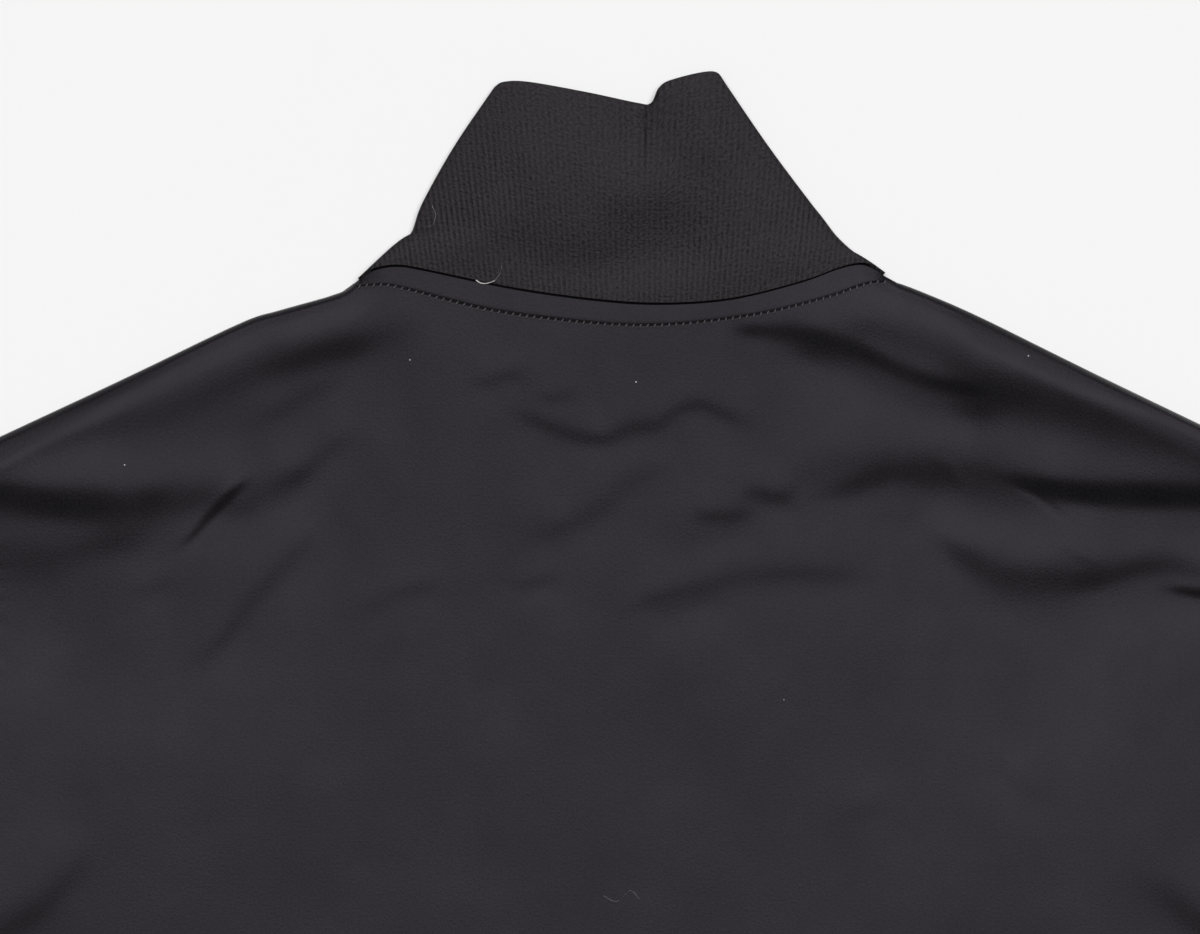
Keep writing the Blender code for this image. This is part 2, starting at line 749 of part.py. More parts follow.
def make_pull_tab():
    """A plate whose end rung hangs in the bail. It turns about that rung."""
    half_width, half_thick, half_rung = TAB["width"] / 2, TAB["thick"] / 2, TAB["rung"] / 2
    x, y, z = TAB_AXIS
    low = (x - half_width, y - TAB["length"], z - half_thick)
    high = (x + half_width, y + half_rung, z + half_thick)
    tab = add_object("pull_tab", box_mesh("pull_tab", low, high, bevel=1.2), ZIP_METAL)
    low = (-TAB["eye_width"] / 2, y - half_rung - TAB["eye"], z - 1)
    high = (TAB["eye_width"] / 2, y - half_rung, z + 1)
    combine(tab, add_cutter("tab_eye", box_mesh("tab_eye", low, high)), "DIFFERENCE")
    axis = (Vector(TAB_AXIS) + origin_shift()) * MM
    for piece in (tab, CUTTERS.objects["tab_eye"]):
        for vertex in piece.data.vertices:
            vertex.co -= axis
        piece.location = axis
        piece.rotation_euler = (TAB_DROP, 0, 0)


def new_collection(name):
    collection = bpy.data.collections.new(name)
    bpy.context.scene.collection.children.link(collection)
    return collection


for old in list(bpy.data.objects):
    bpy.data.objects.remove(old)
JACKET = new_collection("track jacket")
CUTTERS = new_collection("cutters")

make_back()
make_front("front_left", -1)
make_front("front_right", 1)
make_sleeve("sleeve_left", -1)
make_sleeve("sleeve_right", 1)
make_collar()
make_neck_band()
make_hem_band()
make_cuff("cuff_left", -1)
make_cuff("cuff_right", 1)
make_zip_tape("zip_tape_left", -1)
make_zip_tape("zip_tape_right", 1)
make_zip_chain()
make_slider()
make_pull_tab()
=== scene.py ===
# %% [markdown]
# # A plain track jacket, laid out on its front
#
# The real thing is sewn from two cloths. Body and sleeves are tricot, a thin warp knit of polyester
# with a smooth, faintly silky face. Collar, hem band and cuffs are rib knit, which is thicker and
# stretches. It lies face down on a table with its collar turned up, so the back shows, with the
# creases of a garment that was pulled straight by hand.
#
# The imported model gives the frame: fixed solids that say where each piece is. Every piece of cloth
# is made again here, as a thin shell on the form of its solid, with finer creases, ribs, stitches
# and real cloth finishes.

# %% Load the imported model
import math
from collections import namedtuple

import bmesh
import bpy
import numpy as np
from mathutils import Matrix, Vector, noise


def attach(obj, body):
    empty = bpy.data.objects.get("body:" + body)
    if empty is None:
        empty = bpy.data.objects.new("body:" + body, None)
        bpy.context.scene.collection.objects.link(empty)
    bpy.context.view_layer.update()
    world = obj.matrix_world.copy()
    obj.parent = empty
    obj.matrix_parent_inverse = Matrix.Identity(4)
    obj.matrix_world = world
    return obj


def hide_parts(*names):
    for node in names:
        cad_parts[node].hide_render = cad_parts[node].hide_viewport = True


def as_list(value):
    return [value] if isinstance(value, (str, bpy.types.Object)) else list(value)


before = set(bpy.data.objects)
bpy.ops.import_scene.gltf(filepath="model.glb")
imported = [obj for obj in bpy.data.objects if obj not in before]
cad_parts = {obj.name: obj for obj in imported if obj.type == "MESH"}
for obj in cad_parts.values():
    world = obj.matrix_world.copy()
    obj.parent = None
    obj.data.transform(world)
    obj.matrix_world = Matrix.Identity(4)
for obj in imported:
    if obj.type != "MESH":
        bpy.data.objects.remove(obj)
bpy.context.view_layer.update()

# %% [markdown]
# ## Measures
#
# A tailor works in millimetres from a point on the garment that never moves. Here it is the lowest
# point of the back neck seam, and the model's own middle lies 300.6 mm below it. +X is the wearer's
# right and +Y runs up to the collar. Cloth in a picture is best a little thinner than the solids'
# walls, so that the two layers of the jacket can sink closer together in the creases. The edge
# numbers say how bulky a folded edge is, over what width it rolls down, how steeply cloth may climb
# from it, and over what width the creases set in.

# %% Thicknesses, gaps and lengths
MM = 0.001
NECK_Y = 300.6
CLOTH, RIB, BAND, TAPE = 0.8, 1.3, 0.32, 0.5
GAP = 0.3
CLOTH_STACK = 2 * CLOTH + 0.5
RIB_STACK = 3.8
EDGE_LIFT, EDGE_ROLL, EDGE_SLOPE, EDGE_REACH = 3.2, 2.4, 0.42, 6.0
SLEEVE_HEAD = (2.6, 212.0, -46.0, 42.0)
PUFF, PUFF_REACH = 1.1, 12.0
NECK_LIFT, NECK_REACH, NECK_EASE = 1.8, (95.0, 62.0), 60.0
ZIP_LIFT, ZIP_REACH = 2.6, 18.0
SLIDER_LIFT, SLIDER_REACH = 4.4, 34.0
COLLAR_UNDER, COLLAR_EASE, COLLAR_LIFT = (118.0, -92.0), 14.0, 1.7
HEM_SEAM, HEM_END, HEM_SIDE = -628.0, -690.0, (275.0, 262.0)
SLEEVE_LENGTH, CUFF_LENGTH, CUFF_WIDTH, CUFF_EASE = 560.0, 70.0, 84.0, 6.0
ZIP_CHANNEL, CHAIN_HALF, TAPE_HALF = 6.0, 2.6, 14.0
SLIDER_Y, SLIDER_LENGTH = -3.0, 12.0
RIB_PITCH, GROOVE = 2.0, 0.45
STITCH_PITCH, STITCH_SIZE, STITCH_LEAN, STITCH_RISE = 2.7, (1.0, 0.36, 0.34), 62, 0.32
TOOTH_PITCH, TOOTH_SIZE, TOOTH_BEVEL = 1.55, (3.3, 1.25, 1.35), 0.25
TOOTH_ASIDE, TOOTH_RISE = 0.75, 1.45

# %% [markdown]
# ## The pattern's edges
#
# A pattern piece is known by its edges. Each edge is a short row of places that a smooth curve
# passes through. The solids were made from nearly the same rows.

# %% Edges of the pattern pieces, in millimetres
SHOULDERS = {
    -1: ((-102.5, 9.0), (-109.0, 4.6), (-131.5, -1.9), (-147.0, -7.0), (-192.0, -28.5), (-252.0, -56.5)),
    1: ((100.3, 9.5), (111.4, 5.5), (134.5, -4.5), (180.0, -26.9), (252.0, -61.5)),
}
NECK_SEAM = (
    (-101.6, 9.4), (-97.6, 12.2), (-92.0, 14.0), (-86.0, 14.4), (-78.0, 13.2), (-42.0, 5.7), (-10.0, 1.3),
    (14.0, 0.0), (40.0, 1.9), (66.0, 8.3), (80.0, 13.4), (88.0, 15.2), (93.0, 14.2), (97.6, 11.6),
)
BAND_EDGE = (
    (-102.6, 6.9), (-96.0, 7.4), (-90.0, 7.3), (-82.0, 5.4), (-46.0, -3.2), (4.0, -8.0),
    (46.0, -4.4), (76.0, 2.5), (88.0, 6.7), (94.0, 8.4), (99.6, 8.6),
)
COLLAR_SIDES = {
    -1: ((-102.0, 10.2), (-89.0, 22.3), (-82.0, 27.0), (-77.6, 38.6), (-65.4, 60.4), (-50.2, 82.8)),
    1: (
        (98.6, 12.4), (93.6, 16.0), (87.2, 19.8), (80.2, 26.2),
        (75.0, 33.0), (69.3, 40.2), (54.1, 60.6), (37.9, 84.2),
    ),
}
COLLAR_TOP = (
    (-50.2, 82.8), (-46.5, 84.9), (-37.0, 84.9), (-15.0, 81.0), (4.0, 77.0),
    (9.4, 76.8), (12.6, 82.8), (18.0, 85.9), (33.0, 88.9), (37.9, 84.2),
)
ARMHOLE = ((252.0, -59.0), (250.0, -140.0), (262.0, -228.0), (288.0, -290.0))
SIDE = ((HEM_SIDE[0], HEM_SEAM), (281.0, -460.0), (288.0, -290.0))
SLEEVE_TOP = ((252.0, -59.0), (330.0, -97.0), (402.0, -158.0), (456.0, -238.0), (595.0, -486.0))
SLEEVE_UNDER = ((288.0, -290.0), (352.0, -368.0), (440.0, -468.0), (513.0, -541.0))
FRONT_NECK = ((97.0, -14.0), (78.0, -48.0), (42.0, -70.0), (ZIP_CHANNEL, -75.0))
FRONT_COLLAR_TOP = ((43.0, 83.0), (36.0, 44.0), (21.0, 14.0), (ZIP_CHANNEL, 6.0))
ARMPIT_SHARE = 0.56
NECK_SHARE = (0.25, 0.75)

# %% [markdown]
# ## Curves and panels
#
# Cloth follows curves, so the places are joined by a Catmull-Rom curve: it passes through every
# place and needs no handles. A panel between four such curves is a Coons patch. Both are worked
# out for whole rows of points at a time, which is much quicker in Python than point by point.

# %% Smooth curves by share of their length
def smooth(share):
    """Eases from 0 to 1."""
    share = np.clip(share, 0.0, 1.0)
    return share * share * (3 - 2 * share)


def mix(a, b, share):
    return a + (b - a) * share


def column(values):
    """Numbers as a column, so that they multiply rows of points."""
    return np.asarray(values, float)[..., None]


def dense_curve(places, steps=8):
    """Many points on a smooth curve through the places."""
    p = np.asarray(places, float)
    p = np.vstack([2 * p[0] - p[1], p, 2 * p[-1] - p[-2]])
    t = column(np.arange(steps) / steps)
    runs = [
        b + 0.5 * ((c - a) * t + (2 * a - 5 * b + 4 * c - d) * t**2 + (3 * b - a - 3 * c + d) * t**3)
        for a, b, c, d in zip(p, p[1:], p[2:], p[3:])
    ]
    return np.vstack([*runs, p[-2:-1]])


def smooth_path(places):
    """The curve through the places, as a function of the share of its length."""
    dense = dense_curve(places)
    run = np.concatenate([[0.0], np.cumsum(np.linalg.norm(np.diff(dense, axis=0), axis=1))])

    def at(share):
        length = np.asarray(share, float) * run[-1]
        return np.stack([np.interp(length, run, dense[:, k]) for k in (0, 1)], axis=-1)

    return at


def joined(*stretches):
    """One path out of several. Each stretch is a path and the share at which it ends."""

    def at(share):
        share = np.asarray(share, float)
        points, start = None, 0.0
        for path, end in stretches:
            here = path(np.clip((share - start) / (end - start), 0, 1))
            points = here if points is None else np.where(column(share > start), here, points)
            start = end
        return points

    return at


def backwards(path):
    return lambda share: path(1 - np.asarray(share, float))


def patch(bottom, top, left, right):
    """A panel between four edges, as a function of the shares across and up."""

    def at(u, v):
        across = mix(left(v), right(v), column(u))
        along = mix(bottom(u), top(u), column(v))
        low = mix(left(0.0), right(0.0), column(u))
        high = mix(left(1.0), right(1.0), column(u))
        return across + along - mix(low, high, column(v))

    return at


# %% The edges that several pieces share
def mirrored(places, side):
    return [(side * x, y) for x, y in places]


def fitted(places, side):
    """A right-hand row for one side, with its start moved to that side's sleeve head."""
    return [SHOULDERS[side][-1], *mirrored(places[1:], side)]


def shoulder_path(side):
    return smooth_path(SHOULDERS[side])


def front_neck_path(side):
    """From the neck point down to the zip."""
    return smooth_path([SHOULDERS[side][0], *mirrored(FRONT_NECK, side)])


def armhole_path(side):
    return smooth_path(fitted(ARMHOLE, side))


def body_side(side):
    """Up the side seam and the armhole, from the hem to the sleeve head."""
    seam = smooth_path(mirrored(SIDE, side))
    return joined((seam, ARMPIT_SHARE), (backwards(armhole_path(side)), 1.0))


# %% [markdown]
# ## Distances
#
# A crease is high or deep by how far a point lies from its line, and the layers come together
# towards the folded edges. So one function measures how far many points lie from a line, on which
# side of it, and how far along it they are.

# %% Distance to a line
def beside(line, points):
    """Signed distance of points from a line, positive on its left, and their share along it."""
    start, run = line[:-1, None], np.diff(line, axis=0)[:, None]
    length = np.linalg.norm(run, axis=2)
    before = np.cumsum(length, axis=0) - length
    to_point = points[None] - start
    t = np.clip((to_point * run).sum(2) / length**2, 0, 1)
    away = np.linalg.norm(to_point - t[..., None] * run, axis=2)
    nearest = away.argmin(0), np.arange(len(points))
    turn = run[..., 0] * to_point[..., 1] - run[..., 1] * to_point[..., 0]
    side = away[nearest] * np.where(turn[nearest] < 0, -1, 1)
    # The share along it is an average over the near parts of the line, so that it never jumps.
    weight = np.exp((away.min(0) - away) / 2)
    along = (weight * (before + t * length)).sum(0) / weight.sum(0) / length.sum()
    return side, along


FOLDED_EDGES = [
    dense_curve(places, 4)
    for side in (-1, 1)
    for places in (
        SHOULDERS[side],
        fitted(SLEEVE_TOP, side),
        mirrored(SLEEVE_UNDER, side),
        mirrored(SIDE, side),
    )
]


def inland(points):
    """How far points lie from the folded outer edges of body and sleeves."""
    return np.min([np.abs(beside(edge, points)[0]) for edge in FOLDED_EDGES], axis=0)


print("Folded edges:", len(FOLDED_EDGES))

# %% [markdown]
# ## Creases, placed one by one
#
# Cloth that lies flat keeps two kinds of crease. A fold is a step, where the cloth slid over itself:
# it falls at a set slope and eases back to its level slowly on both sides. How wide it falls changes
# along the fold, so each of its places has a width as its third number. A swell or a dent is a soft
# ridge or trough. A cloth simulation would give creases of its own choosing, so these are set one by
# one, in their own sizes, each with its places from left to right.

# %% The creases of the upper layer, in millimetres
Fold = namedtuple("Fold", "name slope above below fade places")
Swell = namedtuple("Swell", "name height above below fade places")
CREASES = (
    # The shoulders: a fold runs out from the band on each side and widens, under a smoother strip.
    Fold("right wedge", 0.31, 22, 40, 0.1, (
        (38, -9, 1.8), (52, -10, 2.4), (66, -11, 4.0), (82, -15, 3.6), (98, -22, 3.0), (112, -28, 3.0),
        (124, -31, 2.2), (140, -33, 1.6),
    )),
    Fold("right wedge, foot", 0.16, 18, 60, 0.2, (
        (54, -14, 4), (80, -21, 5), (104, -32, 8), (124, -38.5, 7), (146, -44, 5),
    )),
    Fold("right shoulder fold", 0.29, 34, 60, 0.16, (
        (110, -23, 6), (126, -28.5, 9), (146, -34, 12.5), (170, -40, 13.5), (194, -46.5, 13.5),
        (216, -53.5, 11), (250, -69, 6), (272, -80, 4),
    )),
    Fold("right shoulder, upper", 0.20, 20, 26, 0.3, (
        (72, -4, 4), (92, -9, 7), (108, -14.5, 9), (125, -20, 9), (144, -25.5, 8),
    )),
    Fold("left shoulder fold", 0.17, 30, 70, 0.14, (
        (-262, -72, 3), (-240, -62, 3.5), (-228, -56, 4.5), (-215, -51, 5.5), (-200, -46.5, 7),
        (-180, -42, 9), (-160, -34, 9.5), (-140, -26, 7.5), (-120, -19.5, 6), (-100, -15, 5), (-84, -11, 4),
    )),
    Fold("left shoulder, neck", 0.10, 22, 70, 0.3, (
        (-146, -28, 7), (-118, -19, 9), (-92, -11, 8), (-68, -8, 5),
    )),
    Fold("left shoulder, broad", 0.07, 24, 60, 0.3, (
        (-196, -62, 14), (-160, -54, 18), (-124, -44, 20), (-92, -38, 12),
    )),
    Fold("left shoulder, inner", 0.07, 12, 12, 0.3, ((-144, -47, 4), (-124, -36, 4), (-104, -26, 4))),
    # The right main fold, black and deep towards the sleeve, broken up and soft towards the middle.
    Swell("right side, lifted", 1.6, 40, 80, 0.4, ((96, -100), (150, -104), (200, -104), (250, -108))),
    Fold("right main halo", 0.11, 40, 80, 0.2, (
        (46, -66, 6), (90, -60, 8), (120, -61, 9), (150, -64, 9), (190, -67, 8), (250, -74, 6),
        (312, -80, 4),
    )),
    Fold("right main fold", 0.56, 50, 80, 0.2, (
        (134, -64, 1.8), (150, -67, 2.4), (164, -70.3, 3.3), (184, -72.1, 4.2), (204, -72.8, 3.9),
        (218, -73, 3.7), (262, -76, 3.4), (312, -80, 3),
    )),
    Fold("right main, inner", 0.17, 30, 34, 0.2, (
        (66, -74, 3), (84, -69.5, 4.5), (100, -65.5, 5.5), (122, -66, 8), (144, -69, 9), (176, -74, 5),
    )),
    Fold("right main, foot", 0.11, 20, 34, 0.3, (
        (110, -70, 5), (135, -77, 8), (165, -83, 10), (200, -83, 8), (246, -84, 6),
    )),
    Fold("right main, blot", 0.15, 12, 12, 0.3, ((44, -69, 3), (54, -73, 3.5), (66, -73, 3.5))),
    Fold("right main, streak", 0.13, 14, 12, 0.3, ((22, -80, 2.5), (38, -80.5, 3.2), (52, -79, 3))),
    Fold("right main, mist", 0.06, 16, 14, 0.3, ((16, -91, 5), (34, -87, 5), (52, -85, 5))),
    Swell("right main wrinkle", -0.3, 1.3, 1.3, 0.3, ((146, -68), (157, -73), (167, -83))),
    Swell("right main ridge", 0.25, 1.4, 1.4, 0.3, ((121, -58), (124, -63), (127, -69))),
    # The right second fold, broad and soft, with one short black crease at its outer end.
    Fold("right second fold", 0.25, 34, 80, 0.2, (
        (108, -80, 3), (118, -88, 4), (130, -96.5, 7), (146, -104, 11), (164, -105, 11), (182, -103, 9),
        (198, -99.5, 6.5), (210, -100, 5.5), (222, -104, 5), (240, -110, 4),
    )),
    Fold("right second, core", 0.07, 12, 14, 0.3, (
        (166, -108, 3.5), (180, -104.5, 3.5), (192, -101, 3.5), (204, -98, 3),
    )),
    Fold("right second crease", 0.60, 8, 9, 0.25, ((201, -108, 1.1), (218, -110, 1.7), (248, -114, 1.2))),
    Fold("right second, tick", 0.08, 7, 7, 0.3, ((168, -94, 1.6), (178, -99, 1.6))),
    # The left main fold and what runs off it.
    Fold("left main fold", 0.36, 44, 66, 0.26, (
        (-326, -60, 4), (-262, -71, 6), (-240, -73, 7), (-215, -75.5, 7), (-196, -76.5, 7.5),
        (-180, -76, 7), (-164, -77, 4),
    )),
    Swell("left side, lifted", 1.0, 50, 90, 0.4, ((-300, -90), (-230, -96), (-160, -100), (-110, -100))),
    Fold("left main, foot", 0.15, 30, 60, 0.3, (
        (-300, -92, 6), (-250, -94, 11), (-226, -96, 11), (-198, -91, 6), (-172, -86, 11), (-148, -84, 7),
    )),
    Fold("left main, end", 0.17, 20, 30, 0.3, (
        (-194, -73, 5), (-176, -73.5, 8), (-158, -74.5, 9), (-138, -73, 6),
    )),
    Fold("left wrinkle", 0.50, 4, 4, 0.2, ((-169, -93, 0.9), (-158, -80, 1.1), (-144, -66, 0.9))),
    Fold("left pocket", 0.11, 16, 24, 0.3, ((-160, -82, 4), (-142, -74, 7), (-128, -68, 7), (-114, -60, 4))),
    Swell("left high", 0.25, 12, 12, 0.3, ((-250, -108), (-234, -120), (-226, -142))),
    Fold("left broad", 0.06, 30, 60, 0.3, (
        (-270, -104, 16), (-226, -112, 18), (-180, -110, 22), (-134, -106, 22), (-108, -100, 12),
    )),
    Fold("left diagonal, upper", 0.09, 12, 12, 0.3, ((-132, -72, 3), (-116, -58, 4.5), (-101, -46, 3))),
    Fold("left diagonal", 0.11, 14, 14, 0.25, (
        (-170, -144, 3), (-152, -126, 3.5), (-140, -110, 4), (-126, -95, 4.5), (-110, -79, 3),
    )),
    Fold("left short", 0.065, 10, 10, 0.3, ((-106, -121, 3), (-88, -111, 3.5), (-68, -105, 3))),
    Fold("left dent", 0.05, 8, 8, 0.3, ((-186, -111, 3), (-173, -104, 3))),
    # The middle: two low waves and a soft row under them.
    Fold("middle wave", 0.115, 14, 14, 0.16, (
        (-48, -38, 2.2), (-30, -46, 3), (-18, -50, 3.2), (-8, -51, 2.5), (2, -47, 4), (12, -45.5, 3.5),
        (20, -40, 2.4), (28, -38, 2.6), (36, -41, 2.6), (53, -49, 2.4),
    )),
    Fold("middle dent", 0.07, 14, 14, 0.25, (
        (-44, -91, 5), (-22, -84, 5), (-8, -76, 5), (2, -67, 5), (24, -58, 5),
    )),
    Fold("middle speck, upper", 0.07, 8, 8, 0.3, ((-58, -32, 3), (-46, -27, 3), (-37, -27, 3))),
    Fold("middle speck", 0.07, 7, 7, 0.3, ((-33, -36, 2.4), (-19, -34, 2.4))),
    Fold("lower dent", 0.065, 8, 8, 0.3, ((-44, -108, 2.5), (-25, -103, 2.5))),
    Fold("lower row", 0.09, 15, 15, 0.2, (
        (-6, -121, 2), (8, -113, 3), (20, -109, 3.5), (40, -104, 4), (62, -102, 4), (86, -103, 4),
        (98, -104, 3),
    )),
    Fold("lower row, blot", 0.05, 12, 12, 0.3, ((8, -119, 4), (28, -112, 4), (42, -109, 4))),
    # Low on the back, where the cloth is almost smooth.
    Fold("right faint, upper", 0.05, 8, 8, 0.3, ((186, -144, 3), (196, -132, 3), (205, -124, 3))),
    Fold("right faint, long", 0.06, 8, 8, 0.3, ((196, -178, 2.4), (203, -157, 2.4), (212, -137, 2.4))),
    Fold("right faint, inner", 0.04, 8, 8, 0.3, ((136, -171, 3), (160, -190, 3))),
    Fold("right faint, low", 0.04, 8, 8, 0.3, ((82, -195, 3), (101, -189, 3))),
    Fold("lower right fold", 0.13, 26, 26, 0.3, ((192, -210, 6), (215, -233, 7), (262, -266, 7))),
    Fold("lower left fold", 0.14, 26, 26, 0.3, (
        (-270, -262, 7), (-234, -238, 7), (-215, -222, 6), (-198, -196, 5),
    )),
    Swell("left of the waist", 2.0, 26, 22, 0.3, ((-240, -420), (-140, -392), (-40, -380))),
    Swell("right of the waist", 2.2, 24, 26, 0.3, ((30, -440), (140, -436), (250, -410))),
    Swell("low back", 1.9, 30, 26, 0.3, ((-160, -540), (-10, -536), (140, -560))),
    Fold("low back fold", 0.16, 24, 24, 0.3, ((-210, -474, 4), (-150, -462, 6), (-96, -468, 4))),
    Fold("low back fold, right", 0.15, 24, 24, 0.3, ((70, -500, 4), (130, -486, 6), (186, -494, 4))),
    Fold("side drag, left", 0.22, 18, 20, 0.3, ((-276, -338, 5), (-226, -330, 5), (-180, -306, 3))),
    Fold("side drag, right", 0.20, 18, 20, 0.3, ((176, -312, 3), (228, -334, 5), (276, -340, 5))),
    # The sleeves, which bend at the elbow and gather a little there.
    Swell("left elbow, upper", 2.0, 16, 12, 0.3, ((-440, -250), (-390, -212), (-330, -190))),
    Fold("left elbow fold", 0.46, 20, 20, 0.25, ((-444, -276, 4), (-392, -236, 3.6), (-334, -212, 2))),
    Swell("left elbow, lower", 1.9, 15, 12, 0.3, ((-450, -330), (-404, -284), (-350, -250))),
    Fold("left elbow, second", 0.34, 16, 16, 0.3, ((-478, -324, 4), (-440, -302, 3.6), (-394, -262, 2))),
    Swell("left forearm", 1.8, 13, 12, 0.3, ((-540, -500), (-498, -446), (-450, -400))),
    Fold("left forearm fold", 0.24, 16, 16, 0.3, ((-526, -448, 3), (-494, -412, 4), (-466, -366, 3))),
    Fold("left sleeve head", 0.28, 20, 20, 0.3, ((-376, -148, 3), (-320, -128, 5), (-272, -98, 4))),
    Fold("left underarm", 0.32, 20, 20, 0.3, ((-350, -338, 3), (-316, -290, 5), (-276, -254, 4))),
    Swell("right elbow, upper", 2.2, 14, 15, 0.3, ((330, -200), (388, -214), (440, -240))),
    Fold("right elbow fold", 0.48, 20, 20, 0.25, ((332, -222, 2), (392, -240, 3.8), (448, -273, 4))),
    Swell("right elbow, lower", 1.8, 15, 12, 0.3, ((345, -262), (400, -286), (448, -322))),
    Fold("right elbow, second", 0.32, 16, 16, 0.3, ((390, -257, 2), (436, -292, 3.4), (482, -338, 4))),
    Swell("right forearm", 2.0, 12, 13, 0.3, ((446, -390), (498, -436), (548, -492))),
    Fold("right forearm fold", 0.24, 16, 16, 0.3, ((464, -372, 3), (500, -424, 4), (538, -456, 3))),
    Fold("right sleeve head", 0.30, 20, 20, 0.3, ((272, -104, 4), (322, -124, 5), (376, -156, 3))),
    Fold("right underarm", 0.32, 20, 20, 0.3, ((276, -252, 4), (318, -292, 5), (344, -342, 3))),
)
print(len(CREASES), "creases")

# %% [markdown]
# The collar is a double-sided strip that stands when it is worn. Turned up and pressed flat, it has
# a hollow above the neck seam and one upright crease where its right half laps over a little.

# %% The creases of the collar
COLLAR_CREASES = (
    Fold("middle hollow", 0.13, 34, 26, 0.25, (
        (-66, 26, 8), (-42, 24, 14), (-16, 22.5, 20), (8, 26, 18), (26, 34, 10), (40, 42, 5),
    )),
    Fold("middle hollow, left", 0.14, 18, 18, 0.35, ((-46, 15, 6), (-28, 13, 9), (-10, 14, 10), (6, 20, 7))),
    Fold("middle hollow, right", 0.09, 18, 18, 0.35, ((-18, 38, 8), (2, 37, 10), (18, 40, 9), (32, 46, 6))),
    Fold("right diagonal", 0.11, 14, 12, 0.3, ((42, 44, 2.5), (58, 32, 3), (72, 25, 3.5), (92, 15, 3))),
    Swell("upright crease", -1.1, 7, 3.4, 0.5, ((4.4, 34), (4.8, 66), (5.8, 104))),
    Swell("left swell", 1.2, 20, 15, 0.35, ((-46, 48), (-26, 56), (-6, 62))),
    Swell("right swell", 1.0, 14, 12, 0.35, ((24, 44), (30, 60), (30, 96))),
    Fold("left soft fall", 0.06, 10, 10, 0.3, ((-56, 36, 3), (-47, 56, 3), (-44, 80, 3))),
)

# %% [markdown]
# ## The height of the cloth
#
# The whole upper layer shares one height field, so the back and the sleeves meet at one height and
# the band, stitches and collar can be laid on it. It starts at the folded edges, which are a little
# bulky, climbs from there at no more than a set slope, and adds the creases. Where creases together
# would push the upper layer through what lies under it, they are eased flat instead. Everywhere
# between the creases, real cloth is never quite flat, so a little slow noise is added.

# %% Height of the upper layer
WAVES = ((0.30, 46, 1.7), (0.09, 17, 5.2))  # height, size of the lumps, seed


def crease_height(creases, points):
    """What the creases add at each point."""
    total = np.zeros(len(points))
    for crease in creases:
        rows = dense_curve(crease.places, 5)
        line = rows[:, :2]
        reach = 2.6 * max(crease.above, crease.below)
        near = np.all((points > line.min(0) - reach) & (points < line.max(0) + reach), axis=1)
        if not near.any():
            continue
        side, along = beside(line, points[near])
        half = np.where(side > 0, crease.above, crease.below)
        shape = np.exp(-((side / half) ** 2))
        if isinstance(crease, Fold):
            run = np.concatenate([[0.0], np.cumsum(np.linalg.norm(np.diff(line, axis=0), axis=1))])
            width = np.interp(along, run / run[-1], rows[:, 2])
            shape *= crease.slope * width * np.tanh(side / width)
        else:
            shape *= crease.height
        total[near] += shape * smooth(along / crease.fade) * smooth((1 - along) / crease.fade)
    return total


def neck_line(x):
    """Height of the back neck seam at x, level beyond its ends."""
    return np.interp(x, *zip(*NECK_SEAM))


def waver(points, size, seed):
    """Slow even noise from -1 to 1 over the points, with lumps of about the given size."""
    return np.array([noise.noise((x / size, y / size, seed)) for x, y in points])


def hump(x, y, reach_x, reach_y):
    return np.exp(-((x / reach_x) ** 2) - (y / reach_y) ** 2)


def least_height(points):
    """The upper layer clears the zip, the slider and the front half of the collar."""
    x, y = points.T
    over_zip = ZIP_LIFT * np.exp(-((x / ZIP_REACH) ** 2))
    over_slider = SLIDER_LIFT * hump(x, y + 2, SLIDER_REACH, SLIDER_REACH)
    within_x, within_y = COLLAR_UNDER[0] - np.abs(x), y - COLLAR_UNDER[1]
    over_collar = smooth(within_x / COLLAR_EASE) * smooth(within_y / COLLAR_EASE)
    return CLOTH_STACK + np.maximum.reduce([over_zip, over_slider, COLLAR_LIFT * over_collar])


def cloth_top(points):
    """Height of the upper layer's outer face over the table."""
    points = np.asarray(points, float)
    x, y = points.T
    from_edge = inland(points)
    free = PUFF * smooth(from_edge / PUFF_REACH)
    free += NECK_LIFT * hump(x, y, *NECK_REACH) * smooth(from_edge / NECK_EASE)
    relief = crease_height(CREASES, points)
    relief += sum(wave * waver(points, size, seed) for wave, size, seed in WAVES)
    # The right sleeve head has the most cloth under it, so the edge itself starts higher there.
    lift, head_x, head_y, reach = SLEEVE_HEAD
    start = lift * hump(x - head_x, y - head_y, reach, reach)
    free += start + (relief - start) * smooth(from_edge / EDGE_REACH)
    # From its folded edge, which is a little bulky, cloth climbs at no more than a set slope.
    steepest = start + EDGE_SLOPE * from_edge
    free = CLOTH_STACK + EDGE_LIFT + (free + steepest - np.hypot(free - steepest, 0.6)) / 2
    low = least_height(points)
    rise = free - low
    return low + (rise + np.hypot(rise, 0.5) - 0.5) / 2


print("Height over the right main lip:", cloth_top([(180, -62)]).round(2), "mm")

# %% [markdown]
# ## Shader sums in Python
#
# A material is a graph of nodes, and sums in it are Math nodes. Building them by hand hides the
# idea, so a small class wraps a socket and lets Python's own + - * make the nodes. Every other
# node comes from one method, which sets the node's settings first and then its sockets.

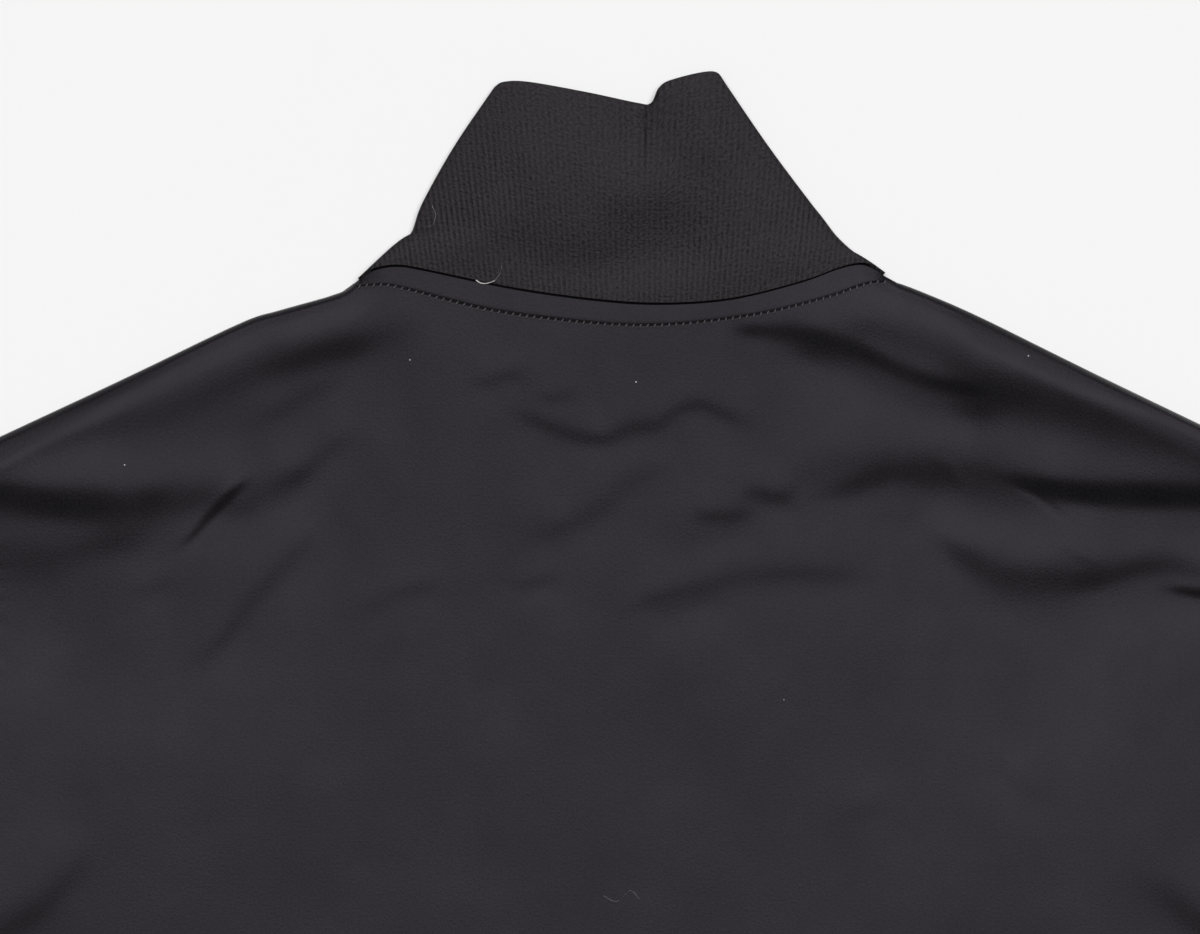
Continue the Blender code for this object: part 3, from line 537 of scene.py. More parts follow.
# %% A socket that Python can do sums with
class Wire:
    def __init__(self, tree, socket=None):
        self.tree, self.socket = tree, socket

    def node(self, kind, settings=None, sockets=None, output=0):
        """Adds a node and gives one of its outputs."""
        made = self.tree.nodes.new(kind)
        for name, value in (settings or {}).items():
            if name == "stops":
                for stop, (place, shade) in zip(made.color_ramp.elements, value):
                    stop.position, stop.color = place, (shade, shade, shade, 1)
            else:
                setattr(made, name, value)
        for name, value in (sockets or {}).items():
            if isinstance(value, Wire):
                self.tree.links.new(value.socket, made.inputs[name])
            else:
                made.inputs[name].default_value = value
        return Wire(self.tree, made.outputs[output])

    def math(self, operation, *values):
        return self.node("ShaderNodeMath", {"operation": operation}, dict(enumerate(values)))

    def __add__(self, other):
        return self.math("ADD", self, other)

    def __sub__(self, other):
        return self.math("SUBTRACT", self, other)

    def __rsub__(self, other):
        return self.math("SUBTRACT", other, self)

    def __mul__(self, other):
        return self.math("MULTIPLY", self, other)

    __radd__, __rmul__ = __add__, __mul__

    def wave(self, count):
        """A cosine from 0 to 1 with count crests to each unit."""
        return self.math("COSINE", self * (2 * math.pi * count)) * 0.5 + 0.5

    def part(self, index):
        """One of a vector's numbers."""
        return self.node("ShaderNodeSeparateXYZ", None, {0: self}, index)

    def blend_colors(self, low, high):
        """Goes from the low colour to the high one as this number goes from 0 to 1."""
        colors = {0: self, 6: (*low, 1.0), 7: (*high, 1.0)}
        return self.node("ShaderNodeMix", {"data_type": "RGBA"}, colors, 2)


# %% [markdown]
# A finish starts from one Principled BSDF. Its numbers that are the same all over the surface are
# set on the shader itself, and only what changes over the surface is wired in: colour, roughness
# and the bump that stands for threads too fine to model.

# %% A finish and how it is wired up
def new_finish(name, **numbers):
    """A material with its shader's constant numbers set, and a wire to build the rest from."""
    material = bpy.data.materials.new(name)
    material.use_nodes = True
    shader = material.node_tree.nodes["Principled BSDF"]
    for socket, value in numbers.items():
        shader.inputs[socket.replace("_", " ")].default_value = value
    return material, shader, Wire(material.node_tree)


def feed(shader, name, source):
    source.tree.links.new(source.socket, shader.inputs[name])


def wire_up(wire, shader, color, roughness, height, distance):
    """Joins colour, roughness and a height for the bump to the shader."""
    bump = wire.node("ShaderNodeBump", None, {"Strength": 1.0, "Distance": distance, "Height": height})
    for name, source in (("Base Color", color), ("Roughness", roughness), ("Normal", bump)):
        feed(shader, name, source)


def noise_at(wire, where, scale, detail=2.0, roughness=0.5):
    sockets = {"Vector": where, "Scale": scale, "Detail": detail, "Roughness": roughness}
    return wire.node("ShaderNodeTexNoise", None, sockets)


def thread_map(wire):
    """The map of the thread's direction, with its numbers across and along the cloth."""
    thread = wire.node("ShaderNodeUVMap", {"uv_map": "thread"})
    return thread, thread.part(0), thread.part(1)


def object_map(wire):
    return wire.node("ShaderNodeTexCoord", None, None, "Object")


# %% [markdown]
# ## Tricot
#
# Tricot has fine upright wales on its face, about fourteen to a centimetre, crossed by finer
# courses. The yarn itself is nearly black. What is seen from an arm's length is the soft shine of
# its smooth filaments, a charcoal that is a touch violet, and it goes out as soon as a fold turns
# away from the light. A faint mottle shows where the cloth has been handled. The pattern follows a
# map of the thread's direction, in metres, so that it turns with the sleeves.

# %% The tricot of body and sleeves
def tricot_finish():
    material, shader, wire = new_finish("tricot", Specular_IOR_Level=0.149)
    shader.inputs["Specular Tint"].default_value = (0.93, 0.85, 1.0, 1.0)
    thread, across, along = thread_map(wire)
    drift = noise_at(wire, thread, 900.0)
    wales = (across + drift * 0.00025).wave(1 / 0.0007)
    courses = (along + drift * 0.0003).wave(1 / 0.0005)
    knit = wales * 0.65 + courses * wales * 0.35
    cloud = noise_at(wire, thread, 26.0, 5.0, 0.6)
    grain = noise_at(wire, thread, 1000.0, 2.0)
    shade = cloud * 0.5 + grain * 1.0 + knit * 0.2 - 0.35
    color = shade.blend_colors((0.0009, 0.0008, 0.0011), (0.0122, 0.0113, 0.0132))
    wire_up(wire, shader, color, 0.25 + cloud * 0.30, knit * 0.25 + grain * 2.0, 0.00003)
    return material


TRICOT = tricot_finish()
print("Finish:", TRICOT.name)

# %% [markdown]
# ## Rib knit
#
# One-by-one rib has round ridges with deep narrow grooves between them. On the hem band and the
# cuffs the ridges are modelled, because they run straight along the grid. On the collar they fan
# out across it, so there they come from the bump. The colour has painted shade in the grooves, which
# are darker than the ridges. The finish also has the row of V-shaped loops up each ridge and the
# fluff that breaks both up into speckles. The map's first number counts along the ribs' pitch, in
# metres of relaxed rib.

# %% The rib of collar, hem and cuffs
def rib_finish(name, relief):
    material, shader, wire = new_finish(name, Specular_IOR_Level=0.142)
    shader.inputs["Specular Tint"].default_value = (0.97, 0.90, 1.0, 1.0)
    thread, across, along = thread_map(wire)
    stray = noise_at(wire, thread, 420.0, 2.0)
    ridge = (across + stray * 0.0006).wave(1 / (RIB_PITCH * MM))
    lean = across.wave(2 / (RIB_PITCH * MM))
    loops = (along + lean * 0.0005 + stray * 0.0006).wave(1 / 0.0013)
    fuzz = noise_at(wire, thread, 900.0, 2.0, 0.6)
    cloud = noise_at(wire, thread, 40.0, 3.0)
    # The stripes fade towards the rib's free edge, where the fluff has been brushed up.
    crisp = 0.94 - along * 7.0
    # Painted shade: the ridge stripe makes the colour darker in the grooves and lighter on the ridges.
    shade = ridge * crisp * 0.3 + loops * ridge * 0.1 + fuzz * 1.8 + cloud * 0.3 - 0.76
    color = shade.blend_colors((0.0006, 0.0005, 0.0005), (0.0230, 0.0212, 0.0218))
    height = ridge * crisp * relief + loops * ridge * 0.16 + fuzz * 2.6
    wire_up(wire, shader, color, 0.40 + cloud * 0.16, height, 0.00012)
    return material


RIB_KNIT, FINE_RIB = rib_finish("rib knit", 0.0), rib_finish("fine rib knit", 1.15)
print("Finishes:", RIB_KNIT.name, FINE_RIB.name)

# %% [markdown]
# ## From a grid to cloth
#
# Every piece of cloth here is a grid that is laid on computed places, then given its wall with a
# Solidify modifier on its inner side. Tubes, such as a sleeve, have their two long edges merged.
# A map called "thread" keeps, for each corner, how far across and along the cloth it lies.

# %% Laying a grid on places
def measured(mesh):
    """Area of a mesh's faces, in square metres."""
    areas = np.empty(len(mesh.polygons))
    mesh.polygons.foreach_get("area", areas)
    return areas.sum()


def linked(name, data):
    """A new object of the scene that shows the data."""
    made = bpy.data.objects.new(name, data)
    bpy.context.scene.collection.objects.link(made)
    return made


def shares_of(across, up):
    """Both shares of every place of a grid, each as one flat row."""
    return (share.ravel() for share in np.meshgrid(across, up, indexing="ij"))


def lay_cloth(name, places, thread, wall, finish):
    """A grid laid on places[i, j], with its wall on the inner side."""
    columns, rows = places.shape[0] - 1, places.shape[1] - 1
    grid = bmesh.new()
    bmesh.ops.create_grid(grid, x_segments=columns, y_segments=rows, size=0.5)
    mesh = bpy.data.meshes.new(name)
    grid.to_mesh(mesh)
    flat = np.empty(len(mesh.vertices) * 3)
    mesh.vertices.foreach_get("co", flat)
    i, j = np.rint((flat.reshape(-1, 3)[:, :2] + 0.5) * (columns, rows)).astype(int).T
    mesh.vertices.foreach_set("co", ((places[i, j] + (0, NECK_Y, 0)) * MM).ravel())
    corners = np.empty(len(mesh.loops), int)
    mesh.loops.foreach_get("vertex_index", corners)
    mesh.uv_layers.new(name="thread").data.foreach_set("uv", (thread[i, j][corners] * MM).ravel())
    grid.clear()
    grid.from_mesh(mesh)
    bmesh.ops.remove_doubles(grid, verts=grid.verts, dist=1e-6)
    grid.normal_update()
    highest = max(grid.faces, key=lambda face: face.calc_center_median().z)
    if highest.normal.z < 0:
        bmesh.ops.reverse_faces(grid, faces=grid.faces)
    grid.to_mesh(mesh)
    grid.free()
    mesh.shade_smooth()
    mesh.materials.append(finish)
    piece = linked(name, mesh)
    thickness = piece.modifiers.new("wall", "SOLIDIFY")
    thickness.thickness = wall * MM
    thickness.offset = -1
    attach(piece, "jacket")
    print(f"{name}: {columns} x {rows} faces, {measured(mesh):.4f} square metres")
    return piece


def spread(stops, counts):
    """Shares from the first stop to the last, with so many steps between each two stops."""
    parts = [np.linspace(a, b, n, endpoint=False) for a, b, n in zip(stops, stops[1:], counts)]
    return np.concatenate([*parts, [stops[-1]]])


# %% [markdown]
# ## The back
#
# One panel with no yoke. Its grid is fine where the creases are, near the top, and coarse down to
# the hem. At its outer edge the cloth rolls down to meet the front. Above the hem seam and beside
# the armholes it is drawn in by the seam, which leaves a shallow groove and small puckers.

# %% Seams that draw the cloth in
def rolled_down(points, top):
    """Lowers the cloth towards the folded edges, where it turns under in a quarter round."""
    share = np.clip(inland(points) / EDGE_ROLL, 0, 1)
    edge = 2 * CLOTH + 0.05
    return edge + (top - edge) * np.sqrt(1 - (1 - share) ** 2)


def armhole_groove(points):
    """A shallow groove with puckers along both armholes."""
    drop = np.zeros(len(points))
    for side in (-1, 1):
        away, along = beside(dense_curve(fitted(ARMHOLE, side)), points)
        away = np.abs(away)
        pucker = 0.25 * np.cos(along * 190 + 2 * np.sin(along * 31)) * np.exp(-((away / 9) ** 2))
        drop += pucker - 0.9 * np.exp(-((away / 2.2) ** 2))
    return drop


def hem_puckers(points):
    """Upright puckers that the tighter hem band gathers above its seam."""
    x, y = points.T
    up = (y - HEM_SEAM) / 70
    fade = np.exp(-(up**2)) * smooth(up / 0.06)
    return fade * (0.55 * np.sin(x / 3.1 + 2.2 * np.sin(x / 23)) + 0.4 * np.sin(x / 7.3 + 1.0))


# %% Lay the back
def make_back():
    hem_left, hem_right = mirrored(SIDE[:1], -1)[0], SIDE[0]
    seam = smooth_path([(x, y - GAP) for x, y in NECK_SEAM])
    top = joined(
        (backwards(shoulder_path(-1)), NECK_SHARE[0]), (seam, NECK_SHARE[1]), (shoulder_path(1), 1.0)
    )
    hem = lambda u: mix(np.array(hem_left), np.array(hem_right), column(u))
    panel = patch(hem, top, body_side(-1), body_side(1))
    across = spread((0, 0.006, 0.25, 0.75, 0.994, 1), (7, 58, 122, 58, 7))
    up = spread((0, 0.10, 0.6, 0.8, 0.994, 1), (18, 34, 44, 88, 10))
    points = panel(*shares_of(across, up))
    height = cloth_top(points) + armhole_groove(points) + hem_puckers(points)
    height = rolled_down(points, height)
    places = np.column_stack([points, height]).reshape(len(across), len(up), 3)
    # The seam allowance turns down under the collar. It ends at the neck points, so it shrinks there.
    allowance = column(smooth((0.25 - np.abs(across - 0.5)) / 0.01))
    last = places[:, -1]
    turned = [last + allowance * np.array(step) for step in ((0, 0.18, -0.9), (0, 1.1, -1.05))]
    places = np.concatenate([places, np.stack(turned, axis=1)], axis=1)
    return lay_cloth("back_cloth", places, places[..., :2], CLOTH, TRICOT)


back = make_back()
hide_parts("back")

# %% [markdown]
# ## The fronts
#
# Both fronts lie flat on the table under the back. They end at the zip, in a straight edge.

# %% Lay the fronts
def make_front(name, side):
    zip_foot = np.array((side * ZIP_CHANNEL, HEM_SEAM))
    hem_end = np.array((side * HEM_SIDE[0], HEM_SEAM))
    neck, neck_share = backwards(front_neck_path(side)), 8 / 14
    panel = patch(
        lambda u: mix(zip_foot, hem_end, column(u)),
        joined((neck, neck_share), (shoulder_path(side), 1.0)),
        lambda v: mix(zip_foot, neck(0.0), column(v)),
        body_side(side),
    )
    across, up = spread((0, neck_share, 1), (32, 24)), spread((0, ARMPIT_SHARE, 1), (30, 40))
    points = panel(*shares_of(across, up))
    shape = (len(across), len(up))
    places = np.column_stack([points, np.full(len(points), CLOTH)]).reshape(*shape, 3)
    return lay_cloth(name, places, points.reshape(*shape, 2), CLOTH, TRICOT)


fronts = [make_front("front_cloth_left", -1), make_front("front_cloth_right", 1)]
for front, node in zip(fronts, ("front_left", "front_right")):
    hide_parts(node)

# %% [markdown]
# ## Tubes pressed flat
#
# A sleeve, a cuff and the hem band are tubes that lie flat. A section of such a tube starts at the
# middle of its lower layer, runs out to one fold, turns up in a half round, crosses over as the
# upper layer, and turns down again. The collar is the same with its lower layer open at the zip.

# %% Sections of a flat tube
def flat_tube(rows, upper, lower_near, lower_far, height, steps):
    """Places[i, j] round a flat tube. upper and the lower paths take a row's share and shares."""
    lower, turn, across = steps
    columns = []
    ends = {}

    def on(path, shares):
        """Each row's place on its path, at its own share or at one share for all rows."""
        shares = np.broadcast_to(shares, len(rows))
        return np.array([path(v, np.array([share]))[0] for v, share in zip(rows, shares)])

    for end in (0, 1):
        edge, inner = on(upper, float(end)), on(upper, 0.98 if end else 0.02)
        inward = (inner - edge) / np.linalg.norm(inner - edge, axis=1)[:, None]
        radius = height(np.full(len(rows), float(end)), rows, edge) / 2
        ends[end] = (edge + inward * radius[:, None], inward, radius)
    length = np.linalg.norm(on(upper, 1.0) - on(upper, 0.0), axis=1)

    def add_lower(end, path, shares):
        """The lower layer, drawn to where the turn has come down to the table."""
        start = on(path, 0.0)
        for share in shares:
            flat = on(path, share) + (ends[end][0] - start) * (1 - share) ** 2
            columns.append(np.column_stack([flat, np.zeros(len(rows))]))

    def add_turn(end, angles):
        centre, inward, radius = ends[end]
        for angle in angles:
            flat = centre - inward * (radius * math.cos(angle))[:, None]
            columns.append(np.column_stack([flat, radius * (1 + math.sin(angle))]))

    angles = np.linspace(-math.pi / 2, math.pi / 2, turn + 1)
    add_lower(0, lower_near, np.linspace(1, 0, lower, endpoint=False))
    add_turn(0, angles)
    for k in range(1, across):
        share = mix(ends[0][2], length - ends[1][2], k / across) / length
        flat = on(upper, share)
        columns.append(np.column_stack([flat, height(share, rows, flat)]))
    add_turn(1, angles[::-1])
    add_lower(1, lower_far, np.linspace(0, 1, lower + 1)[1:])
    return np.array(columns)


def round_and_along(places):
    """How far each place of a tube lies round it and along it, in millimetres."""
    round_it = np.linalg.norm(np.diff(places, axis=0), axis=2)
    round_it = np.concatenate([np.zeros((1, places.shape[1])), np.cumsum(round_it, axis=0)])
    round_it -= round_it[-1] / 2
    along = np.linalg.norm(np.diff(places, axis=1), axis=2).mean(axis=0)
    along = np.concatenate([[0.0], np.cumsum(along)])
    return np.stack([round_it, np.broadcast_to(along, round_it.shape)], axis=-1)


# %% [markdown]
# ## The sleeves
#
# Each sleeve is cut in one piece, wide at the armhole and narrow at the cuff, and sewn along the
# arm's underside. Its seam lies under the middle of the flat tube here, out of sight.

# %% Lay the sleeves
def make_sleeve(name, side):
    outer = smooth_path(fitted(SLEEVE_TOP, side))
    under = smooth_path(mirrored(SLEEVE_UNDER, side))
    armhole = armhole_path(side)
    clear = np.array((side * 0.42, 0.0))

    def upper(v, share):
        curve = 1 - smooth(v / 0.35)
        bulge = armhole(share) - mix(armhole(0.0), armhole(1.0), column(share))
        return mix(outer(v), under(v), column(share)) + bulge * curve + clear

    def lower_near(v, share):
        return mix(upper(v, np.array([0.03])), upper(v, np.array([0.5])), column(share))

    def lower_far(v, share):
        return mix(upper(v, np.array([0.97])), upper(v, np.array([0.5])), column(share))

    def height(share, v, points):
        to_cuff = (1 - v) * SLEEVE_LENGTH
        near_cuff = np.exp(-((to_cuff / 40) ** 2)) * smooth(to_cuff / 5)
        pucker = 0.5 * np.sin(share * 47 + 2 * np.sin(share * 13)) * near_cuff
        pucker = pucker * np.sin(math.pi * np.clip(share, 0, 1))
        return cloth_top(points) + armhole_groove(points) + pucker

    rows = spread((0, 0.001, 0.03, 0.999, 1), (1, 6, 96, 1))
    places = flat_tube(rows, upper, lower_near, lower_far, height, (14, 7, 76))
    return lay_cloth(name, places, round_and_along(places), CLOTH, TRICOT)


sleeves = [make_sleeve("sleeve_cloth_left", -1), make_sleeve("sleeve_cloth_right", 1)]
for sleeve, node in zip(sleeves, ("sleeve_left", "sleeve_right")):
    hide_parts(node)

# %% [markdown]
# ## Ribs
#
# Ribs are cut into a finished form: every place moves inwards by the depth of the groove at its
# count along the ribs. The ridges stay on the form, so a ribbed piece keeps its outside size.

# %% Cutting ribs into a form
def ribbed(places, count, depth):
    """Moves places inwards where the rib count, in ribs, is between two ridges."""
    around = np.gradient(places, axis=0)
    along = np.gradient(places, axis=1)
    normal = np.cross(around, along)
    normal /= np.maximum(np.linalg.norm(normal, axis=2), 1e-9)[..., None]
    middle = normal[normal.shape[0] // 2, normal.shape[1] // 2]
    normal *= 1 if middle[2] > 0 else -1
    groove = (0.5 - 0.5 * np.cos(2 * math.pi * count)) ** 1.4
    level = np.clip(np.abs(normal[..., 2:]) * 2 - 1, 0, 1)
    return places - normal * level * (groove * depth)[..., None]


def rib_top(points):
    return np.maximum(RIB_STACK, cloth_top(points) + 0.2)


# %% [markdown]
# ## The collar
#
# The collar is one strip of rib, 80 mm high, sewn to the neck all round. Turned up and laid flat it
# narrows towards its top, because its sides fall inwards. The ribs still run straight up and leave
# at the side folds, so their count is taken from the place and not from the grid's columns.

# %% Lay the collar
COLLAR_RIBS_X, COLLAR_HEIGHT, RIB_FAN = 4.0, 80.0, 0.16
COLLAR_PROUD, COLLAR_BULK, COLLAR_WAVES = 0.42, 5.0, (0.25, 30, 8.8)


def collar_height(share, v, points):
    seam = np.maximum(RIB_STACK, cloth_top(points) + COLLAR_PROUD)
    from_sides = smooth(np.minimum(share, 1 - share) / 0.2)
    wave, size, seed = COLLAR_WAVES
    relief = crease_height(COLLAR_CREASES, points) + wave * waver(points, size, seed)
    lifted = RIB_STACK + from_sides * (COLLAR_BULK * (1 - v) + relief)
    height = np.maximum(mix(seam, lifted, smooth(v / 0.3)), RIB + 2 * GAP)
    return height - 0.5 * smooth((v - 0.975) / 0.025)


def make_collar():
    seam = smooth_path([(x, y + 0.04) for x, y in NECK_SEAM])
    top_edge = smooth_path(COLLAR_TOP)
    sides = {side: smooth_path(COLLAR_SIDES[side]) for side in (-1, 1)}
    neck_middle = np.array((0.0, 14.0))

    def upper(v, share):
        chord = mix(mix(seam(0.0), top_edge(0.0), v), mix(seam(1.0), top_edge(1.0), v), column(share))
        fold_line = mix(sides[-1](v), sides[1](v), column(share))
        return mix(seam(share), top_edge(share), v) - chord + fold_line

    def front(side):
        neck = front_neck_path(side)
        edge = smooth_path([(side * x, y) for x, y in FRONT_COLLAR_TOP])

        def at(v, share):
            low = neck_middle + (neck(share) - neck_middle) * 0.993
            return mix(low, edge(share), v)

        return at

    rows = spread((0, 0.002, 0.96, 0.996, 1), (1, 44, 4, 1))
    across, lower, turn = 300, 70, 6
    places = flat_tube(rows, upper, front(-1), front(1), collar_height, (lower, turn, across))
    count = np.empty(places.shape[:2])
    first, last = lower + turn, lower + turn + across
    x, y = places[first:last + 1, :, 0], places[first:last + 1, :, 1]
    pitch = RIB_PITCH * (1 + RIB_FAN * (y - neck_line(x)) / COLLAR_HEIGHT)
    count[first:last + 1] = (x - COLLAR_RIBS_X) / pitch
    steps = np.linalg.norm(np.diff(places, axis=0), axis=2) / (RIB_PITCH * (1 + RIB_FAN * rows))
    count[:first] = count[first] - np.cumsum(steps[:first][::-1], axis=0)[::-1]
    count[last + 1:] = count[last] + np.cumsum(steps[last:], axis=0)
    thread = round_and_along(places)
    thread[..., 0] = count * RIB_PITCH
    return lay_cloth("collar_rib", places, thread, RIB, FINE_RIB)


collar = make_collar()
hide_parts("collar")

# %% [markdown]
# ## Hem band and cuffs
#
# The hem band is one strip that ends at the zip on both fronts, and each cuff is a short tube. Both
# are narrower than the cloth that they are sewn to. Their ribs run straight across the strip.

# %% Lay the hem band
def soft_rib_height(swell, reach):
    def height(share, v, points):
        inner = RIB_STACK + swell * smooth(np.minimum(share, 1 - share) / reach)
        return mix(rib_top(points), inner, smooth(v)) - 0.5 * smooth((v - 0.96) / 0.04)

    return height


def rib_tube(name, inner_rows, paths, height, steps):
    """A pressed tube of rib. Its ridges run straight along it, at the count of its first row."""
    rows = spread((0, 0.006, 0.96, 0.994, 1), (1, inner_rows, 1, 1))
    places = flat_tube(rows, *paths, height, steps)
    thread = round_and_along(places)
    thread[..., 0] = thread[:, :1, 0]
    cut = ribbed(places, thread[..., 0] / RIB_PITCH, GROOVE)
    return lay_cloth(name, cut, thread, RIB, RIB_KNIT)


def make_hem_band():
    def row(v):
        return mix(HEM_SEAM - GAP, HEM_END, v), mix(HEM_SIDE[0], HEM_SIDE[1], smooth(v))

    def strip(start, end):
        """A straight path from one x to another, each worked out from the band's half width."""

        def at(v, share):
            y, half = row(v)
            x = mix(start(half), end(half), share)
            return np.column_stack([x, np.full_like(x, y)])

        return at

    upper = strip(lambda half: -half, lambda half: half)
    near = strip(lambda half: -half + RIB_STACK, lambda half: -ZIP_CHANNEL)
    far = strip(lambda half: half - RIB_STACK, lambda half: ZIP_CHANNEL)
    return rib_tube("hem_rib", 7, (upper, near, far), soft_rib_height(2.5, 0.1), (520, 6, 1340))


hem_band = make_hem_band()
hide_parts("hem_band")

# %% Lay the cuffs
def make_cuff(name, side):
    top, under = (np.array(mirrored(row, side)[-1]) for row in (SLEEVE_TOP, SLEEVE_UNDER))
    width = np.linalg.norm(under - top)
    across = (under - top) / width
    down = np.array((-across[1], across[0])) * side

    def edges(v):
        narrow = mix(CUFF_EASE, (width - CUFF_WIDTH) / 2, smooth(v / 0.6))
        shift = down * mix(2 * GAP, CUFF_LENGTH, v)
        return top + across * narrow + shift, under - across * narrow + shift

    def part(start, end):
        def at(v, share):
            near, far = edges(v)
            return mix(mix(near, far, start), mix(near, far, end), column(share))

        return at

    paths = part(0, 1), part(0.04, 0.5), part(0.96, 0.5)
    return rib_tube(name, 9, paths, soft_rib_height(1.2, 0.2), (84, 6, 250))


cuffs = [make_cuff("cuff_rib_left", -1), make_cuff("cuff_rib_right", 1)]
for cuff, node in zip(cuffs, ("cuff_left", "cuff_right")):
    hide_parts(node)

# %% [markdown]
# ## The band under the collar
#
# The seam that joins collar and back is covered on the outside by a narrow band of the same tricot.
# It is caught in the collar seam and held along its lower edge by a row of small stitches. It lies
# on the back's height field, slightly padded by the seam allowance under it.

# %% Lay the neck band
def make_neck_band():
    seam = smooth_path([(x, y - 0.04) for x, y in NECK_SEAM])
    lower = smooth_path(BAND_EDGE)
    across, up = np.linspace(0, 1, 221), spread((0, 0.15, 0.985, 1), (5, 7, 1))
    u, v = shares_of(across, up)
    points = mix(lower(u), seam(u), column(v))
    height = rolled_down(points, cloth_top(points)) + 0.05 + BAND * smooth(v / 0.15)
    shape = (len(across), len(up))
    places = np.column_stack([points, height]).reshape(*shape, 3)
    return lay_cloth("neck_band_cloth", places, points.reshape(*shape, 2), BAND, TRICOT)


band = make_neck_band()
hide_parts("neck_band")

# %% [markdown]
# The stitches are small loops of thread that lie aslant over the band's edge. There are about
# eighty, so each is only a squeezed sphere of a few dozen faces, placed by one matrix.

# %% Sew the stitches along the band
def thread_finish():
    material, shader, wire = new_finish("sewing thread", Specular_IOR_Level=0.3)
    where = object_map(wire)
    twist = (where.part(0) + where.part(1)).wave(1 / 0.0003)
    fuzz = noise_at(wire, where, 1800.0)
    color = (twist * 0.5 + fuzz * 0.5).blend_colors((0.030, 0.029, 0.031), (0.084, 0.079, 0.086))
    wire_up(wire, shader, color, 0.5 + fuzz * 0.2, twist, 0.00005)
    return material


def new_piece(name, grid, finish):
    """Turns a finished bmesh into a piece that rides on the jacket."""
    mesh = bpy.data.meshes.new(name)
    grid.to_mesh(mesh)
    grid.free()
    mesh.shade_smooth()
    mesh.materials.append(finish)
    piece = linked(name, mesh)
    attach(piece, "jacket")
    print(f"{name}: {len(mesh.polygons)} faces")
    return piece


def squeezed(size):
    """Scales a shape of size 1 to so many millimetres each way."""
    return Matrix.Diagonal((*(side * MM for side in size), 1))


def make_band_stitches():
    edge = smooth_path(BAND_EDGE)
    length = np.linalg.norm(np.diff(edge(np.linspace(0, 1, 400)), axis=0), axis=1).sum()
    count = int(length / STITCH_PITCH)
    shares = (np.arange(count) + 0.5) / count
    points = edge(shares)
    height = rolled_down(points, cloth_top(points)) + STITCH_RISE
    ahead = edge(np.clip(shares + 0.002, 0, 1)) - edge(np.clip(shares - 0.002, 0, 1))
    grid = bmesh.new()
    for (x, y), z, (run_x, run_y) in zip(points, height, ahead):
        place = Matrix.Translation(Vector((x, y + NECK_Y, z)) * MM)
        lean = Matrix.Rotation(math.atan2(run_y, run_x) + math.radians(STITCH_LEAN), 4, "Z")
        shape = place @ lean @ squeezed(STITCH_SIZE)
        bmesh.ops.create_uvsphere(grid, u_segments=8, v_segments=5, radius=1, matrix=shape)
    return new_piece("band_stitches", grid, thread_finish())


band_stitches = make_band_stitches()

# %% [markdown]
# ## The zip
#
# The zip runs down the front, closed, between the two layers. Each half is a woven tape with a row
# of moulded teeth on its edge, and the teeth of both rows take turns. The slider and its pull tab
# keep their solids, which have the right shape, and get a black enamel that is worn in patches.

# %% Zip finishes
def tape_finish():
    material, shader, wire = new_finish("zip tape", Specular_IOR_Level=0.2)
    thread, across, along = thread_map(wire)
    weave = (across + along).wave(1 / 0.0008) * 0.6 + (across - along).wave(1 / 0.0008) * 0.4
    fuzz = noise_at(wire, thread, 1600.0)
    color = (weave * 0.7 + fuzz * 0.3).blend_colors((0.012, 0.012, 0.013), (0.030, 0.030, 0.032))
    wire_up(wire, shader, color, 0.7 + fuzz * 0.2, weave, 0.0001)
    return material


def moulded_finish():
    material, shader, wire = new_finish("moulded teeth", Specular_IOR_Level=0.45)
    where = object_map(wire)
    haze = noise_at(wire, where, 700.0, 3.0)
    color = haze.blend_colors((0.014, 0.014, 0.016), (0.028, 0.028, 0.030))
    wire_up(wire, shader, color, 0.35 + haze * 0.2, haze, 0.00003)
    return material


def enamel_finish():
    material, shader, wire = new_finish("black enamel", Specular_IOR_Level=0.5)
    where = object_map(wire)
    wear = noise_at(wire, where, 260.0, 5.0, 0.65)
    worn = wire.node("ShaderNodeValToRGB", {"stops": ((0.60, 0.0), (0.72, 1.0))}, {0: wear})
    peel = noise_at(wire, where, 900.0, 2.0)
    color = worn.part(0).blend_colors((0.018, 0.018, 0.020), (0.11, 0.105, 0.10))
    feed(shader, "Metallic", worn.part(0) * 0.7 + 0.15)
    wire_up(wire, shader, color, 0.28 + peel * 0.15, peel, 0.00004)
    return material


ZIP_TAPE, MOULDED, ENAMEL = tape_finish(), moulded_finish(), enamel_finish()
print("Finishes:", ZIP_TAPE.name, MOULDED.name, ENAMEL.name)

# %% Lay the tapes and set the teeth
def lower_layer(y):
    """Height of the lower layer's inner face at the zip: the rib bands are thicker."""
    rise = smooth((y - FRONT_NECK[-1][1] + 14) / 12) + smooth((HEM_SEAM + 14 - y) / 12)
    return mix(CLOTH, RIB, np.minimum(rise, 1.0))


ZIP_START, ZIP_END = HEM_END, SLIDER_Y - SLIDER_LENGTH / 2 - GAP


def make_tape(name, side):
    x = spread((CHAIN_HALF + GAP, TAPE_HALF), (8,))
    y = np.linspace(ZIP_START, ZIP_END, 61)
    across, up = np.meshgrid(x, y, indexing="ij")
    rise = 0.5 * (1 - smooth((across - CHAIN_HALF) / (ZIP_CHANNEL - CHAIN_HALF)))
    height = lower_layer(up) + GAP + rise + TAPE
    places = np.stack([side * across, up, height], axis=-1)
    return lay_cloth(name, places, places[..., :2], TAPE, ZIP_TAPE)


def edges_of(corners):
    return {edge for corner in corners for edge in corner.link_edges}


